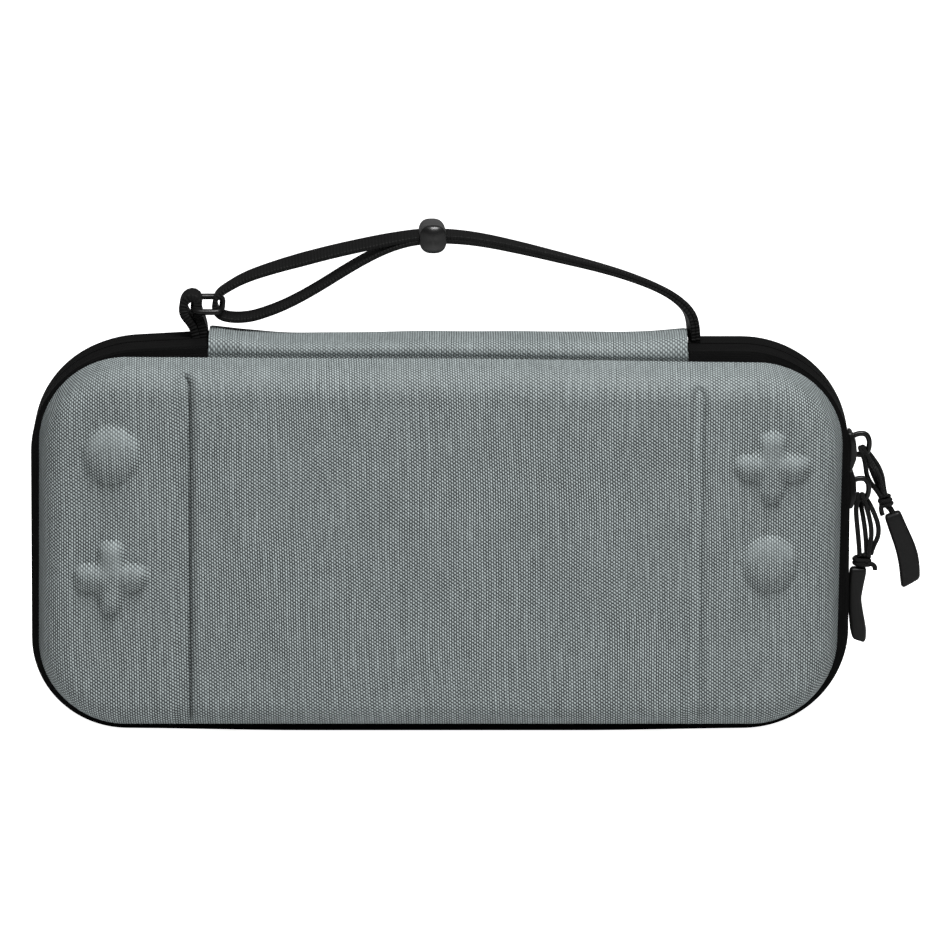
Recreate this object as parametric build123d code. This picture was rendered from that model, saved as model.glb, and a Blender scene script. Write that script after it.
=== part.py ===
"""Hard-shell carry case for a handheld game console, standing on its long zip edge.

Frame: +X to the right and +Z up as the embossed face is seen, +Y towards the back.
The origin is at the middle of the bottom edge, on the parting line of the zip.
All sizes are in millimetres.
"""
from build123d import *
import os
from math import atan2, cos, degrees, radians, sin

# Bay for the console, and the walls from it to the outside of the zip band
BAY_WIDTH = 238.0
BAY_HEIGHT = 101.0
BAY_CORNER = 20.0
SIDE_WALL = 12.0
EDGE_WALL = 12.5

# Zip band
CORNER_RADIUS = 33.0
SEAM_DEPTH = 10.0
TAPE_THICKNESS = 1.0
TAPE_GAP = 1.4
TAPE_FLANGE = 1.2
TAPE_ROUND = 0.8
COIL_WIDTH = 2.4
COIL_THICKNESS = 1.3
COIL_ROUND = 0.4

# Moulded shells
SHELL_DEPTH = 13.0
SHELL_WALL = 3.2
SHELL_DRAFT = 15.0
SHELL_EDGE_RADIUS = 9.0
RIM_STEP = 2.4

# Raised and sunk forms of the front shell, placed from its side and from its mid-height
EMBOSS_HEIGHT = 1.9
EMBOSS_ROOT = 1.0
EMBOSS_TOP_ROUND = 1.05
EMBOSS_FOOT_ROUND = 0.75
DOME_DIAMETER = 17.6
CROSS_SPAN = 23.6
CROSS_ARM = 8.6
CROSS_INNER_ROUND = 1.6
LEFT_FORM_INSET = 25.0
RIGHT_FORM_INSET = 24.5
LEFT_DOME_RISE = 32.0
LEFT_CROSS_RISE = -8.0
RIGHT_CROSS_RISE = 29.0
RIGHT_DOME_RISE = -4.0
GROOVE_INSET = 49.0
GROOVE_WIDTH = 4.4
GROOVE_DEPTH = 0.9
GROOVE_FOOT = 6.5
GROOVE_HEAD = 7.0

# Fabric spine that hinges the lid on the top edge
SPINE_LEFT = -75.0
SPINE_RIGHT = 79.0
SPINE_RISE = 2.4
SPINE_FOOT_DROP = 1.0
SPINE_THICKNESS = 1.8
SPINE_END_GAP = 0.3
SPINE_FOLD_GAP = 0.3

# Console tray in the back half
TRAY_CLEARANCE = 0.4
TRAY_FRONT = 3.0
TRAY_FLOOR = 3.6
TRAY_EDGE_ROUND = 1.0
NOTCH_X = 62.0
NOTCH_RADIUS = 13.0
NOTCH_DEPTH = 8.0

# Mesh pocket in the lid
POCKET_INSET = 1.8
POCKET_NET = 0.8
POCKET_MOUTH = 38.0
BINDING_HEIGHT = 8.0
BINDING_THICKNESS = 1.6

# Wrist strap of flat webbing; rises are heights above the case's top edge
WEB_WIDTH = 9.4
WEB_THICKNESS = 1.2
WEB_LAYER_GAP = 0.15
WEB_SEAT_GAP = 0.05
STRAP_Y = 5.3
ARCH_RADIUS = 122.0
ARCH_APEX_X = -4.4
ARCH_RISE = 35.0
ARCH_LEFT_DEG = 15.4
ARCH_RIGHT_DEG = 14.4
SHOULDER_INSET = 13.8
STRAP_ROOT_OFFSET = 2.4
ROOT_BEND_RISE = 8.2
ROOT_BEND_RADIUS = 14.0
SHOULDER_RADIUS = 30.0
JOIN_DEG = -3.6
JOIN_RUN = 7.5
JOIN_RADIUS = 24.0
UPPER_STRAND = [(22.2, 27.4), (5.2, 20.6)]
UPPER_RADII = [40.0, 10.0]
LOWER_STRAND = [(6.7, 7.8), (22.2, 13.8)]
LOWER_RADII = [9.0, 40.0]
FOLD_RADIUS = 1.9
FOLD_RISE = 2.2

# Link ring and its sewn tab
RING_RISE = 13.2
RING_WIRE = 1.9
RING_LEAN = 4.0
RING_LENGTH = 9.2
RING_SPAN = 12.4
RING_CORNER = 2.4
TAB_ROOT_OFFSET = 1.4
TAB_NECK_RISE = 3.5
TAB_SIDE = 2.1
TAB_LEAN = 1.6

# Oval bead that gathers the strap
BEAD_OFFSET = 2.0
BEAD_WIDTH = 9.0
BEAD_DEPTH = 13.6
BEAD_HEIGHT = 8.6
BEAD_ROUND = 1.3
BEAD_CLEARANCE = 0.35
BEAD_DISH_DEPTH = 0.7

# Zip sliders
SLIDER_SPACING = 15.5
SLIDER_GAP = 0.3
SLIDER_PLATE = 1.3
SLIDER_SHOULDER = 2.5
SLIDER_LENGTH = 11.6
SLIDER_NOSE_RADIUS = 2.0
SLIDER_TAIL_RADIUS = 2.4
SLIDER_INNER_CLEARANCE = 0.8
SLIDER_EDGE_ROUND = 0.4
POST_WIDTH = 0.8
POST_LENGTH = 2.4
BRIDGE_HOLE_LENGTH = 4.8
BRIDGE_HOLE_HEIGHT = 3.6
BRIDGE_BAR = 1.5
BRIDGE_THICKNESS = 2.2
BRIDGE_ROUND = 0.4

# Cord pulls
CORD_DIAMETER = 1.4
CORD_SPREAD = 0.75
CORD_BUNDLE = 0.8
CORD_SIDE_GAP = 0.35
CORD_LENGTH = 20.5
CORD_BEND = 1.15
CORD_SOFT_BEND = 4.0
KNOT_DIAMETER = 5.2
KNOT_LENGTH = 4.4
KNOT_ROUND = 0.8
GRIP_LENGTH = 25.0
GRIP_TOP_WIDTH = 6.6
GRIP_WAIST_WIDTH = 5.0
GRIP_END_WIDTH = 7.4
GRIP_THICKNESS = 4.0
GRIP_ROUND = 1.1
PULL_SIDE = 1.0
PULL_LAYER = 4.6
UPPER_PULL_DEG = 20.0

# Values worked out from the driving dimensions
CASE_WIDTH = BAY_WIDTH + 2 * SIDE_WALL
CASE_HEIGHT = BAY_HEIGHT + 2 * EDGE_WALL
HALF_WIDTH = CASE_WIDTH / 2
MID_HEIGHT = CASE_HEIGHT / 2
FACE_DEPTH = SEAM_DEPTH + SHELL_DEPTH
TAPE_EDGE = TAPE_GAP / 2
SHELL_INNER_RIM = RIM_STEP + SHELL_WALL
LEFT_FORM_X = LEFT_FORM_INSET - HALF_WIDTH
RIGHT_FORM_X = HALF_WIDTH - RIGHT_FORM_INSET
POCKET_TOP = CASE_HEIGHT - POCKET_MOUTH
UPPER_SLIDER_Z = CASE_HEIGHT - CORNER_RADIUS
LOWER_SLIDER_Z = UPPER_SLIDER_Z - SLIDER_SPACING
WEB_PITCH = WEB_THICKNESS + WEB_LAYER_GAP
WEB_ROOT_Z = CASE_HEIGHT + WEB_SEAT_GAP
ARCH_CENTRE_Z = CASE_HEIGHT + ARCH_RISE - ARCH_RADIUS
STRAP_ROOT_X = SPINE_RIGHT + STRAP_ROOT_OFFSET
TAB_ROOT_X = SPINE_LEFT - TAB_ROOT_OFFSET
TAB_NECK_Z = CASE_HEIGHT + TAB_NECK_RISE
RING_Z = CASE_HEIGHT + RING_RISE
RING_LEFT = TAB_ROOT_X - RING_LEAN
RING_RIGHT = RING_LEFT + RING_LENGTH
BEAD_X = ARCH_APEX_X + BEAD_OFFSET
CORD_OUT = BRIDGE_THICKNESS / 2 + CORD_SIDE_GAP + CORD_DIAMETER / 2
PIVOT_X = HALF_WIDTH + SLIDER_GAP + SLIDER_PLATE + BRIDGE_HOLE_HEIGHT / 2


def case_outline(inset, depth):
    """The case's rounded outline, moved in by inset, at depth in front of the zip line."""
    outline = RectangleRounded(CASE_WIDTH - 2 * inset, CASE_HEIGHT - 2 * inset, CORNER_RADIUS - inset)
    return Plane.XZ.offset(depth) * (Pos(0, MID_HEIGHT) * outline)


def outline_ring(outer_inset, inner_inset, start, length):
    """A wall that follows the case's outline, from start to start + length in front of the zip line."""
    face = case_outline(outer_inset, start) - case_outline(inner_inset, start)
    return extrude(face, amount=length)


def spine_window(end_gap):
    """The stretch of the top edge that the spine takes from the zip band."""
    length = SPINE_RIGHT - SPINE_LEFT + 2 * end_gap
    height = 2 * (SHELL_INNER_RIM + TAPE_FLANGE)
    return Pos((SPINE_LEFT + SPINE_RIGHT) / 2, 0, CASE_HEIGHT) * Box(length, CASE_HEIGHT, height)


def shell_form(inset, depth, edge_radius):
    """Drafted block with a rounded face, the outside or the inside of a moulded shell."""
    form = extrude(case_outline(RIM_STEP + inset, SEAM_DEPTH), amount=depth, taper=SHELL_DRAFT)
    return fillet(form.faces().sort_by(Axis.Y)[0].edges(), edge_radius)


def plain_shell():
    outside = shell_form(0, SHELL_DEPTH, SHELL_EDGE_RADIUS)
    inside = shell_form(SHELL_WALL, SHELL_DEPTH - SHELL_WALL, SHELL_EDGE_RADIUS - SHELL_WALL)
    return outside - inside


def cross_outline():
    """Cross with fully rounded arm ends."""
    cross = SlotOverall(CROSS_SPAN, CROSS_ARM) + SlotOverall(CROSS_SPAN, CROSS_ARM, rotation=90)
    inner_reach = CROSS_ARM
    inner = [v for v in cross.vertices() if (v.X**2 + v.Y**2) ** 0.5 < inner_reach]
    return fillet(inner, CROSS_INNER_ROUND)


def raised_form(place, outline):
    """Puffed form on the front face with a rounded top edge."""
    plane = Plane.XZ.offset(FACE_DEPTH - EMBOSS_ROOT)
    body = extrude(plane * (Pos(*place) * outline), amount=EMBOSS_ROOT + EMBOSS_HEIGHT)
    return fillet(body.faces().sort_by(Axis.Y)[0].edges(), EMBOSS_TOP_ROUND)


def panel_groove(x):
    """Shallow channel over the whole height of the front face, of even depth over its rounded edges."""
    length = CASE_HEIGHT - GROOVE_FOOT - GROOVE_HEAD
    slot = SlotOverall(length, GROOVE_WIDTH, rotation=90)
    channel = Plane.XZ.offset(SEAM_DEPTH) * (Pos(x, GROOVE_FOOT + length / 2) * slot)
    floor = shell_form(GROOVE_DEPTH, SHELL_DEPTH - GROOVE_DEPTH, SHELL_EDGE_RADIUS - GROOVE_DEPTH)
    return extrude(channel, amount=SHELL_DEPTH) - floor


def front_shell():
    shell = plain_shell()
    for x, rise, outline in (
        (LEFT_FORM_X, LEFT_DOME_RISE, Circle(DOME_DIAMETER / 2)),
        (LEFT_FORM_X, LEFT_CROSS_RISE, cross_outline()),
        (RIGHT_FORM_X, RIGHT_CROSS_RISE, cross_outline()),
        (RIGHT_FORM_X, RIGHT_DOME_RISE, Circle(DOME_DIAMETER / 2)),
    ):
        place = (x, MID_HEIGHT + rise)
        shell += raised_form(place, outline)
        feet = [e for e in shell.edges() if is_foot(e, place)]
        shell = fillet(feet, EMBOSS_FOOT_ROUND)
    groove_x = HALF_WIDTH - GROOVE_INSET
    for x in (-groove_x, groove_x):
        shell -= panel_groove(x)
    return shell


def is_foot(edge, place):
    """True for an edge where the raised form at place meets the front face."""
    box = edge.bounding_box()
    flat = abs(box.min.Y + FACE_DEPTH) < 0.01 and abs(box.max.Y + FACE_DEPTH) < 0.01
    middle = box.center()
    return flat and abs(middle.X - place[0]) < CROSS_SPAN / 2 and abs(middle.Z - place[1]) < CROSS_SPAN / 2


def zip_tape():
    """Front half of the zip band: flat tape with a flange sewn onto the shell's rim."""
    wall = outline_ring(0, TAPE_THICKNESS, TAPE_EDGE, SEAM_DEPTH - TAPE_EDGE)
    flange = outline_ring(0, SHELL_INNER_RIM, SEAM_DEPTH - TAPE_FLANGE, TAPE_FLANGE)
    tape = wall + flange
    seam_face = tape.faces().sort_by(Axis.Y)[0]
    outer_wire = seam_face.outer_wire()
    return fillet(outer_wire.edges(), TAPE_ROUND) - spine_window(SPINE_END_GAP)


def zip_coil():
    """Front row of the zip chain, on the inside of its tape."""
    coil = outline_ring(TAPE_THICKNESS, TAPE_THICKNESS + COIL_THICKNESS, TAPE_EDGE, COIL_WIDTH)
    inner_wires = [f.inner_wires()[0] for f in coil.faces() if f.inner_wires()]
    inner_edges = [e for wire in inner_wires for e in wire.edges()]
    return fillet(inner_edges, COIL_ROUND) - spine_window(SPINE_END_GAP)


def hinge_spine():
    """Arched fabric panel along the top edge, sewn onto the back rim, with its fold at the front rim."""
    foot_z = CASE_HEIGHT - SPINE_FOOT_DROP
    crown_z = CASE_HEIGHT + SPINE_RISE
    sewn_z = CASE_HEIGHT - SHELL_INNER_RIM
    front = -SEAM_DEPTH + SPINE_FOLD_GAP
    back = SEAM_DEPTH
    outer = ThreePointArc((front, foot_z), (0, crown_z), (back, foot_z))
    inner = ThreePointArc(
        (back - TAPE_FLANGE, foot_z - SPINE_THICKNESS),
        (0, crown_z - SPINE_THICKNESS),
        (front + TAPE_FLANGE, foot_z - SPINE_THICKNESS),
    )
    back_foot = Polyline(
        (back, foot_z), (back, sewn_z), (back - TAPE_FLANGE, sewn_z), inner @ 0
    )
    front_foot = Polyline(
        inner @ 1, (front + TAPE_FLANGE, sewn_z), (front, sewn_z), (front, foot_z)
    )
    section = make_face([outer, back_foot, inner, front_foot])
    return extrude(Plane.YZ.offset(SPINE_LEFT) * section, amount=SPINE_RIGHT - SPINE_LEFT)


def console_tray():
    """Moulded insert of the back half with a bay for the console and finger notches."""
    inset = SHELL_INNER_RIM + TRAY_CLEARANCE
    depth = FACE_DEPTH - SHELL_WALL - TRAY_CLEARANCE - SEAM_DEPTH
    seated = extrude(case_outline(inset, SEAM_DEPTH), amount=depth, taper=SHELL_DRAFT)
    seated = fillet(seated.faces().sort_by(Axis.Y)[0].edges(), SHELL_EDGE_RADIUS - SHELL_WALL)
    block = extrude(case_outline(inset, TRAY_FRONT), amount=SEAM_DEPTH - TRAY_FRONT) + seated
    floor_depth = SEAM_DEPTH + depth - TRAY_FLOOR
    bay = RectangleRounded(BAY_WIDTH, BAY_HEIGHT, BAY_CORNER)
    bay_cut = extrude(Plane.XZ.offset(TRAY_FRONT) * (Pos(0, MID_HEIGHT) * bay), amount=floor_depth - TRAY_FRONT)
    notches = Sketch()
    for x in (-NOTCH_X, NOTCH_X):
        for z in (MID_HEIGHT - BAY_HEIGHT / 2, MID_HEIGHT + BAY_HEIGHT / 2):
            notches += Pos(x, z) * Circle(NOTCH_RADIUS)
    room = CASE_HEIGHT - 2 * (inset + TRAY_EDGE_ROUND + TRAY_FLOOR / 2)
    notches = notches & (Pos(0, MID_HEIGHT) * Rectangle(CASE_WIDTH, room))
    notch_cut = extrude(Plane.XZ.offset(TRAY_FRONT) * notches, amount=NOTCH_DEPTH)
    tray = block - bay_cut
    rim = tray.faces().sort_by(Axis.Y)[-1]
    tray = fillet(rim.edges(), TRAY_EDGE_ROUND) - notch_cut
    return mirror(tray, about=Plane.XZ)


def mesh_pocket():
    """Net panel sewn over the lower part of the lid, on the flange of the front tape."""
    sheet = extrude(case_outline(POCKET_INSET, SEAM_DEPTH - TAPE_FLANGE - POCKET_NET), amount=POCKET_NET)
    return sheet & (Pos(0, 0, POCKET_TOP / 2) * Box(CASE_WIDTH, CASE_WIDTH, POCKET_TOP))


def pocket_binding():
    """Elastic edge of the net panel."""
    y = -(SEAM_DEPTH - TAPE_FLANGE - POCKET_NET - BINDING_THICKNESS / 2)
    strip = Box(CASE_WIDTH - 2 * POCKET_INSET, BINDING_THICKNESS, BINDING_HEIGHT)
    strip = Pos(0, y, POCKET_TOP - BINDING_HEIGHT / 2) * strip
    return fillet(strip.edges().filter_by(Axis.X), BINDING_THICKNESS / 3)


def arch_point(radius, angle_deg):
    """Point of the strap's arch at an angle from the vertical, positive to the right."""
    angle = radians(angle_deg)
    return (ARCH_APEX_X + radius * sin(angle), ARCH_CENTRE_Z + radius * cos(angle))


def along(point, angle_deg, distance):
    """Point at a distance from point, along the arch's tangent at angle_deg."""
    angle = radians(angle_deg)
    return (point[0] + distance * cos(angle), point[1] - distance * sin(angle))


def offset_corner(before, corner, after, distance):
    """Corner of the same bend moved to the right-hand side of its path by distance."""
    first = atan2(corner[1] - before[1], corner[0] - before[0])
    second = atan2(after[1] - corner[1], after[0] - corner[0])
    half_turn = (second - first) / 2
    normal = first + half_turn - radians(90)
    reach = distance / cos(half_turn)
    return (corner[0] + reach * cos(normal), corner[1] + reach * sin(normal))


def arch_arc(radius, start_deg, end_deg):
    middle_deg = (start_deg + end_deg) / 2
    return ThreePointArc(arch_point(radius, start_deg), arch_point(radius, middle_deg), arch_point(radius, end_deg))


def strand_point(offsets):
    """Point of a strand, given to the right of the link ring and above the case's top edge."""
    return (RING_RIGHT + offsets[0], CASE_HEIGHT + offsets[1])


def webbing(edges):
    """Flat webbing that follows a line in the XZ plane, its width along Y."""
    path = Plane.XZ.offset(-STRAP_Y) * Wire(edges)
    start = path.position_at(0)
    section = Plane(start, x_dir=(0, 1, 0), z_dir=path.tangent_at(0)) * Rectangle(WEB_WIDTH, WEB_THICKNESS)
    return sweep(section, path=path)


def wrist_strap():
    """One length of webbing: up from its root, round the link ring and back to the root below itself."""
    inner_radius = ARCH_RADIUS - WEB_PITCH
    arch_end = arch_point(ARCH_RADIUS, ARCH_RIGHT_DEG)
    run = (STRAP_ROOT_X - SHOULDER_INSET - arch_end[0]) / cos(radians(ARCH_RIGHT_DEG))
    shoulder = along(arch_end, ARCH_RIGHT_DEG, run)
    bend = (STRAP_ROOT_X, CASE_HEIGHT + ROOT_BEND_RISE)
    root = (STRAP_ROOT_X, WEB_ROOT_Z)
    outer_root = FilletPolyline(root, bend, shoulder, arch_end, radius=[ROOT_BEND_RADIUS, SHOULDER_RADIUS])
    outer_arch = arch_arc(ARCH_RADIUS, ARCH_RIGHT_DEG, -ARCH_LEFT_DEG)

    fold_x = RING_RIGHT - FOLD_RADIUS
    join = arch_point(inner_radius, JOIN_DEG)
    loop_points = [
        arch_point(ARCH_RADIUS, -ARCH_LEFT_DEG),
        *[strand_point(p) for p in UPPER_STRAND],
        (fold_x, RING_Z + FOLD_RISE),
        (fold_x, RING_Z - FOLD_RISE),
        *[strand_point(p) for p in LOWER_STRAND],
        along(join, JOIN_DEG, -JOIN_RUN),
        join,
    ]
    loop_radii = [*UPPER_RADII, FOLD_RADIUS, FOLD_RADIUS, *LOWER_RADII, JOIN_RADIUS]
    loop = FilletPolyline(*loop_points, radius=loop_radii)

    inner_arch = arch_arc(inner_radius, JOIN_DEG, ARCH_RIGHT_DEG)
    inner_end = arch_point(inner_radius, ARCH_RIGHT_DEG)
    inner_shoulder = offset_corner(arch_end, shoulder, bend, WEB_PITCH)
    inner_bend = offset_corner(shoulder, bend, root, WEB_PITCH)
    inner_root = FilletPolyline(
        inner_end,
        inner_shoulder,
        inner_bend,
        (STRAP_ROOT_X - WEB_PITCH, WEB_ROOT_Z),
        radius=[SHOULDER_RADIUS - WEB_PITCH, ROOT_BEND_RADIUS - WEB_PITCH],
    )
    runs = [outer_root, outer_arch, loop, inner_arch, inner_root]
    return webbing([e for run in runs for e in run.edges()])


def strap_tab():
    """Sewn loop of webbing that holds the link ring."""
    top = RING_Z + TAB_SIDE
    left = RING_LEFT - TAB_SIDE
    right = RING_LEFT + TAB_SIDE
    second_leg = TAB_ROOT_X - WEB_PITCH
    points = [
        (TAB_ROOT_X, WEB_ROOT_Z),
        (TAB_ROOT_X, TAB_NECK_Z + WEB_PITCH),
        (right, RING_Z),
        (right - TAB_LEAN / 4, top),
        (left, top),
        (left - TAB_LEAN / 2, RING_Z - 2 * TAB_SIDE),
        (second_leg, TAB_NECK_Z),
        (second_leg, WEB_ROOT_Z),
    ]
    bend = TAB_SIDE * 0.7
    path = FilletPolyline(*points, radius=[4 * bend, 4 * bend, bend, bend, 2 * bend, bend])
    return webbing(path.edges())


def strap_ring():
    """Rectangular wire ring that links the tab and the strap."""
    centre = ((RING_LEFT + RING_RIGHT) / 2, STRAP_Y, RING_Z)
    path = Pos(*centre) * RectangleRounded(RING_RIGHT - RING_LEFT, RING_SPAN, RING_CORNER).wire()
    start = path.position_at(0)
    section = Plane(start, z_dir=path.tangent_at(0)) * Circle(RING_WIRE / 2)
    return sweep(section, path=path)


def strap_bead():
    """Oval barrel with a slot for both layers of the strap and a dished top."""
    middle_radius = ARCH_RADIUS - WEB_PITCH / 2
    angle = (BEAD_X - ARCH_APEX_X) / middle_radius
    body = extrude(Ellipse(BEAD_WIDTH / 2, BEAD_DEPTH / 2), amount=BEAD_HEIGHT / 2, both=True)
    ends = body.edges().filter_by(GeomType.ELLIPSE)
    body = fillet(ends, BEAD_ROUND)
    slot_height = WEB_PITCH + WEB_THICKNESS + 2 * BEAD_CLEARANCE
    body -= Box(2 * BEAD_WIDTH, WEB_WIDTH + 2 * BEAD_CLEARANCE, slot_height)
    half_span = BEAD_WIDTH / 2 - BEAD_ROUND
    ball = (half_span**2 + BEAD_DISH_DEPTH**2) / (2 * BEAD_DISH_DEPTH)
    body -= Pos(0, 0, BEAD_HEIGHT / 2 - BEAD_DISH_DEPTH + ball) * Sphere(ball)
    centre_z = ARCH_CENTRE_Z + middle_radius * cos(angle)
    return Pos(BEAD_X, STRAP_Y, centre_z) * Rot(0, degrees(angle), 0) * body


def slider_plate(toward):
    """Shield outline of a slider, its shoulder towards +Z or -Z."""
    shoulder_z = toward * (SLIDER_LENGTH / 2 - SLIDER_NOSE_RADIUS)
    tail_z = -toward * (SLIDER_LENGTH / 2 - SLIDER_TAIL_RADIUS)
    rounds = Sketch() + Pos(0, tail_z) * Circle(SLIDER_TAIL_RADIUS)
    for side in (-1, 1):
        rounds += Pos(side * SLIDER_SHOULDER, shoulder_z) * Circle(SLIDER_NOSE_RADIUS)
    return make_hull(rounds.edges())


def zip_slider(z, toward):
    """Slider astride the closed zip on the right edge, with a bridge for its pull."""
    outer_x = HALF_WIDTH + SLIDER_GAP
    inner_x = HALF_WIDTH - TAPE_THICKNESS - COIL_THICKNESS - SLIDER_INNER_CLEARANCE - SLIDER_PLATE
    outline = slider_plate(toward)
    outer = extrude(Plane.YZ.offset(outer_x) * (Pos(0, z) * outline), amount=SLIDER_PLATE)
    outer = fillet(outer.faces().sort_by(Axis.X)[-1].edges(), SLIDER_EDGE_ROUND)
    inner = extrude(Plane.YZ.offset(inner_x) * (Pos(0, z) * outline), amount=SLIDER_PLATE)
    post_x = (outer_x + inner_x + SLIDER_PLATE) / 2
    post_z = z + toward * (SLIDER_LENGTH / 2 - POST_LENGTH)
    post = Pos(post_x, 0, post_z) * Box(outer_x - inner_x, POST_WIDTH, POST_LENGTH)
    return outer + inner + post + slider_bridge(z, outer_x + SLIDER_PLATE)


def slider_bridge(z, base_x):
    """Arched bridge over a hole that the pull cord goes through."""
    reach = BRIDGE_HOLE_HEIGHT + BRIDGE_BAR
    length = BRIDGE_HOLE_LENGTH + 2 * BRIDGE_BAR
    arch = RectangleRounded(2 * reach, length, reach * 0.6)
    hole = RectangleRounded(2 * BRIDGE_HOLE_HEIGHT, BRIDGE_HOLE_LENGTH, BRIDGE_HOLE_HEIGHT * 0.5)
    keep = Pos(reach / 2, 0) * Rectangle(reach, length)
    profile = (arch - hole) & keep
    plane = Plane.XZ.offset(-BRIDGE_THICKNESS / 2)
    bridge = extrude(plane * (Pos(base_x, z) * profile), amount=BRIDGE_THICKNESS)
    rims = [e for e in bridge.edges() if e.bounding_box().size.Y < 0.01 and e.bounding_box().min.X > base_x + 0.1]
    return fillet(rims, BRIDGE_ROUND)


def cord_tube(place, points, radii):
    path = place * FilletPolyline(*points, radius=radii)
    section = Plane(path.position_at(0), z_dir=path.tangent_at(0)) * Circle(CORD_DIAMETER / 2)
    return sweep(section, path=path)


def pull_place(z, hang_deg):
    """Place of a pull that is drawn hanging along -Z from the origin."""
    return Pos(PIVOT_X, 0, z) * Rot(0, -hang_deg, 0)


def pull_cord(place, layer):
    """Two loops of cord through the bridge, brought together at the knot."""
    low = -CORD_LENGTH
    gathered = low + CORD_DIAMETER
    near = -CORD_LENGTH * 0.27
    middle = -CORD_LENGTH * 0.62
    loops = []
    for start, front_bow, back_bow in ((-CORD_SPREAD, 0.1, 1.2), (CORD_SPREAD, 4.9, 3.1)):
        end = PULL_SIDE + (CORD_BUNDLE if start > 0 else -CORD_BUNDLE)
        front_near = start + (front_bow - start) * 0.75
        back_near = start + (back_bow - start) * 0.6
        points = [
            (end, layer - CORD_BUNDLE, low),
            (end, layer - CORD_BUNDLE, gathered),
            (front_bow, layer - CORD_BUNDLE, middle),
            (front_near, -CORD_OUT, near),
            (start, -CORD_OUT, 0),
            (start, CORD_OUT, 0),
            (back_near, CORD_OUT, near),
            (back_bow, layer + CORD_BUNDLE, middle),
            (end, layer + CORD_BUNDLE, gathered),
            (end, layer + CORD_BUNDLE, low),
        ]
        soft = [CORD_DIAMETER, CORD_SOFT_BEND, CORD_SOFT_BEND]
        loops.append(cord_tube(place, points, [*soft, CORD_BEND, CORD_BEND, *reversed(soft)]))
    return Compound(children=loops)


def pull_knot(layer):
    """Knot that closes the cord loops, seated on the grip."""
    knot = Cylinder(KNOT_DIAMETER / 2, KNOT_LENGTH)
    knot = fillet(knot.edges(), KNOT_ROUND)
    return Pos(PULL_SIDE, layer, -CORD_LENGTH - KNOT_LENGTH / 2) * knot


def pull_grip(layer):
    """Moulded finger grip with a waist and a slanted end."""
    top = -CORD_LENGTH - KNOT_LENGTH
    half_top = GRIP_TOP_WIDTH / 2
    half_end = GRIP_END_WIDTH / 2
    half_waist = GRIP_WAIST_WIDTH / 2
    waist_z = top - GRIP_LENGTH * 0.45
    end_left_z = top - GRIP_LENGTH
    end_right_z = top - GRIP_LENGTH * 0.88
    head = Line((half_top, top), (-half_top, top))
    left = ThreePointArc((-half_top, top), (-half_waist, waist_z), (-half_end, end_left_z))
    end = Line((-half_end, end_left_z), (half_end, end_right_z))
    right = ThreePointArc((half_end, end_right_z), (half_waist, waist_z), (half_top, top))
    face = make_face([head, left, end, right])
    face = fillet(face.vertices(), GRIP_ROUND)
    plane = Plane.XZ.offset(-layer - GRIP_THICKNESS / 2)
    grip = extrude(plane * (Pos(PULL_SIDE, 0) * face), amount=GRIP_THICKNESS)
    rims = [e for e in grip.edges() if e.bounding_box().size.Y < 0.01]
    return fillet(rims, GRIP_ROUND)


def pull_parts(side, z, layer, hang_deg):
    place = pull_place(z, hang_deg)
    return {
        f"{side}_pull_cord": pull_cord(place, layer),
        f"{side}_pull_knot": place * pull_knot(layer),
        f"{side}_pull_grip": place * pull_grip(layer),
    }


def all_parts():
    front_tape = zip_tape()
    front_coil = zip_coil()
    parts = {
        "front_shell": front_shell(),
        "back_shell": mirror(plain_shell(), about=Plane.XZ),
        "front_zip_tape": front_tape,
        "back_zip_tape": mirror(front_tape, about=Plane.XZ),
        "front_zip_coil": front_coil,
        "back_zip_coil": mirror(front_coil, about=Plane.XZ),
        "hinge_spine": hinge_spine(),
        "console_tray": console_tray(),
        "mesh_pocket": mesh_pocket(),
        "pocket_binding": pocket_binding(),
        "wrist_strap": wrist_strap(),
        "strap_tab": strap_tab(),
        "strap_ring": strap_ring(),
        "strap_bead": strap_bead(),
        "upper_slider": zip_slider(UPPER_SLIDER_Z, -1),
        "lower_slider": zip_slider(LOWER_SLIDER_Z, 1),
    }
    parts.update(pull_parts("upper", UPPER_SLIDER_Z, PULL_LAYER, UPPER_PULL_DEG))
    parts.update(pull_parts("lower", LOWER_SLIDER_Z, -PULL_LAYER, 0))
    return parts


def main():
    os.makedirs("parts", exist_ok=True)
    for name, part in all_parts().items():
        export_step(part, f"parts/{name}.step")


if __name__ == "__main__":
    main()
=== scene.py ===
"""Studio picture of a hard-shell carry case for a handheld console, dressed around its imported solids."""
from math import cos, pi, radians, sin, tan

import bpy
import numpy as np
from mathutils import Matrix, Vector


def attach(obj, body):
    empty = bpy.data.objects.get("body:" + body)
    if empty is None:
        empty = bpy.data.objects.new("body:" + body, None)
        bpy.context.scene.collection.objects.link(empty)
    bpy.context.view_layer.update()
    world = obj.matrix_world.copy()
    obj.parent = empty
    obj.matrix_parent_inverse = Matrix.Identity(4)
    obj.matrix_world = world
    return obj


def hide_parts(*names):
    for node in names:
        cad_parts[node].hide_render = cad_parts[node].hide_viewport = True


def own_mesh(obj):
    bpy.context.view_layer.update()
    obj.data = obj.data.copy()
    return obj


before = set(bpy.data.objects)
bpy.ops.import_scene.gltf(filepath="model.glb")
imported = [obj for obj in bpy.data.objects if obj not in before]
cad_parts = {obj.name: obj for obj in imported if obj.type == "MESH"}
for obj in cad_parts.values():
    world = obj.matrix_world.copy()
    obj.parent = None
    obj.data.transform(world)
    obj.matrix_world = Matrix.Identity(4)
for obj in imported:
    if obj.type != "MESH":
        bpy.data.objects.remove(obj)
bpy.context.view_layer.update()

MM = 0.001

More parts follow.
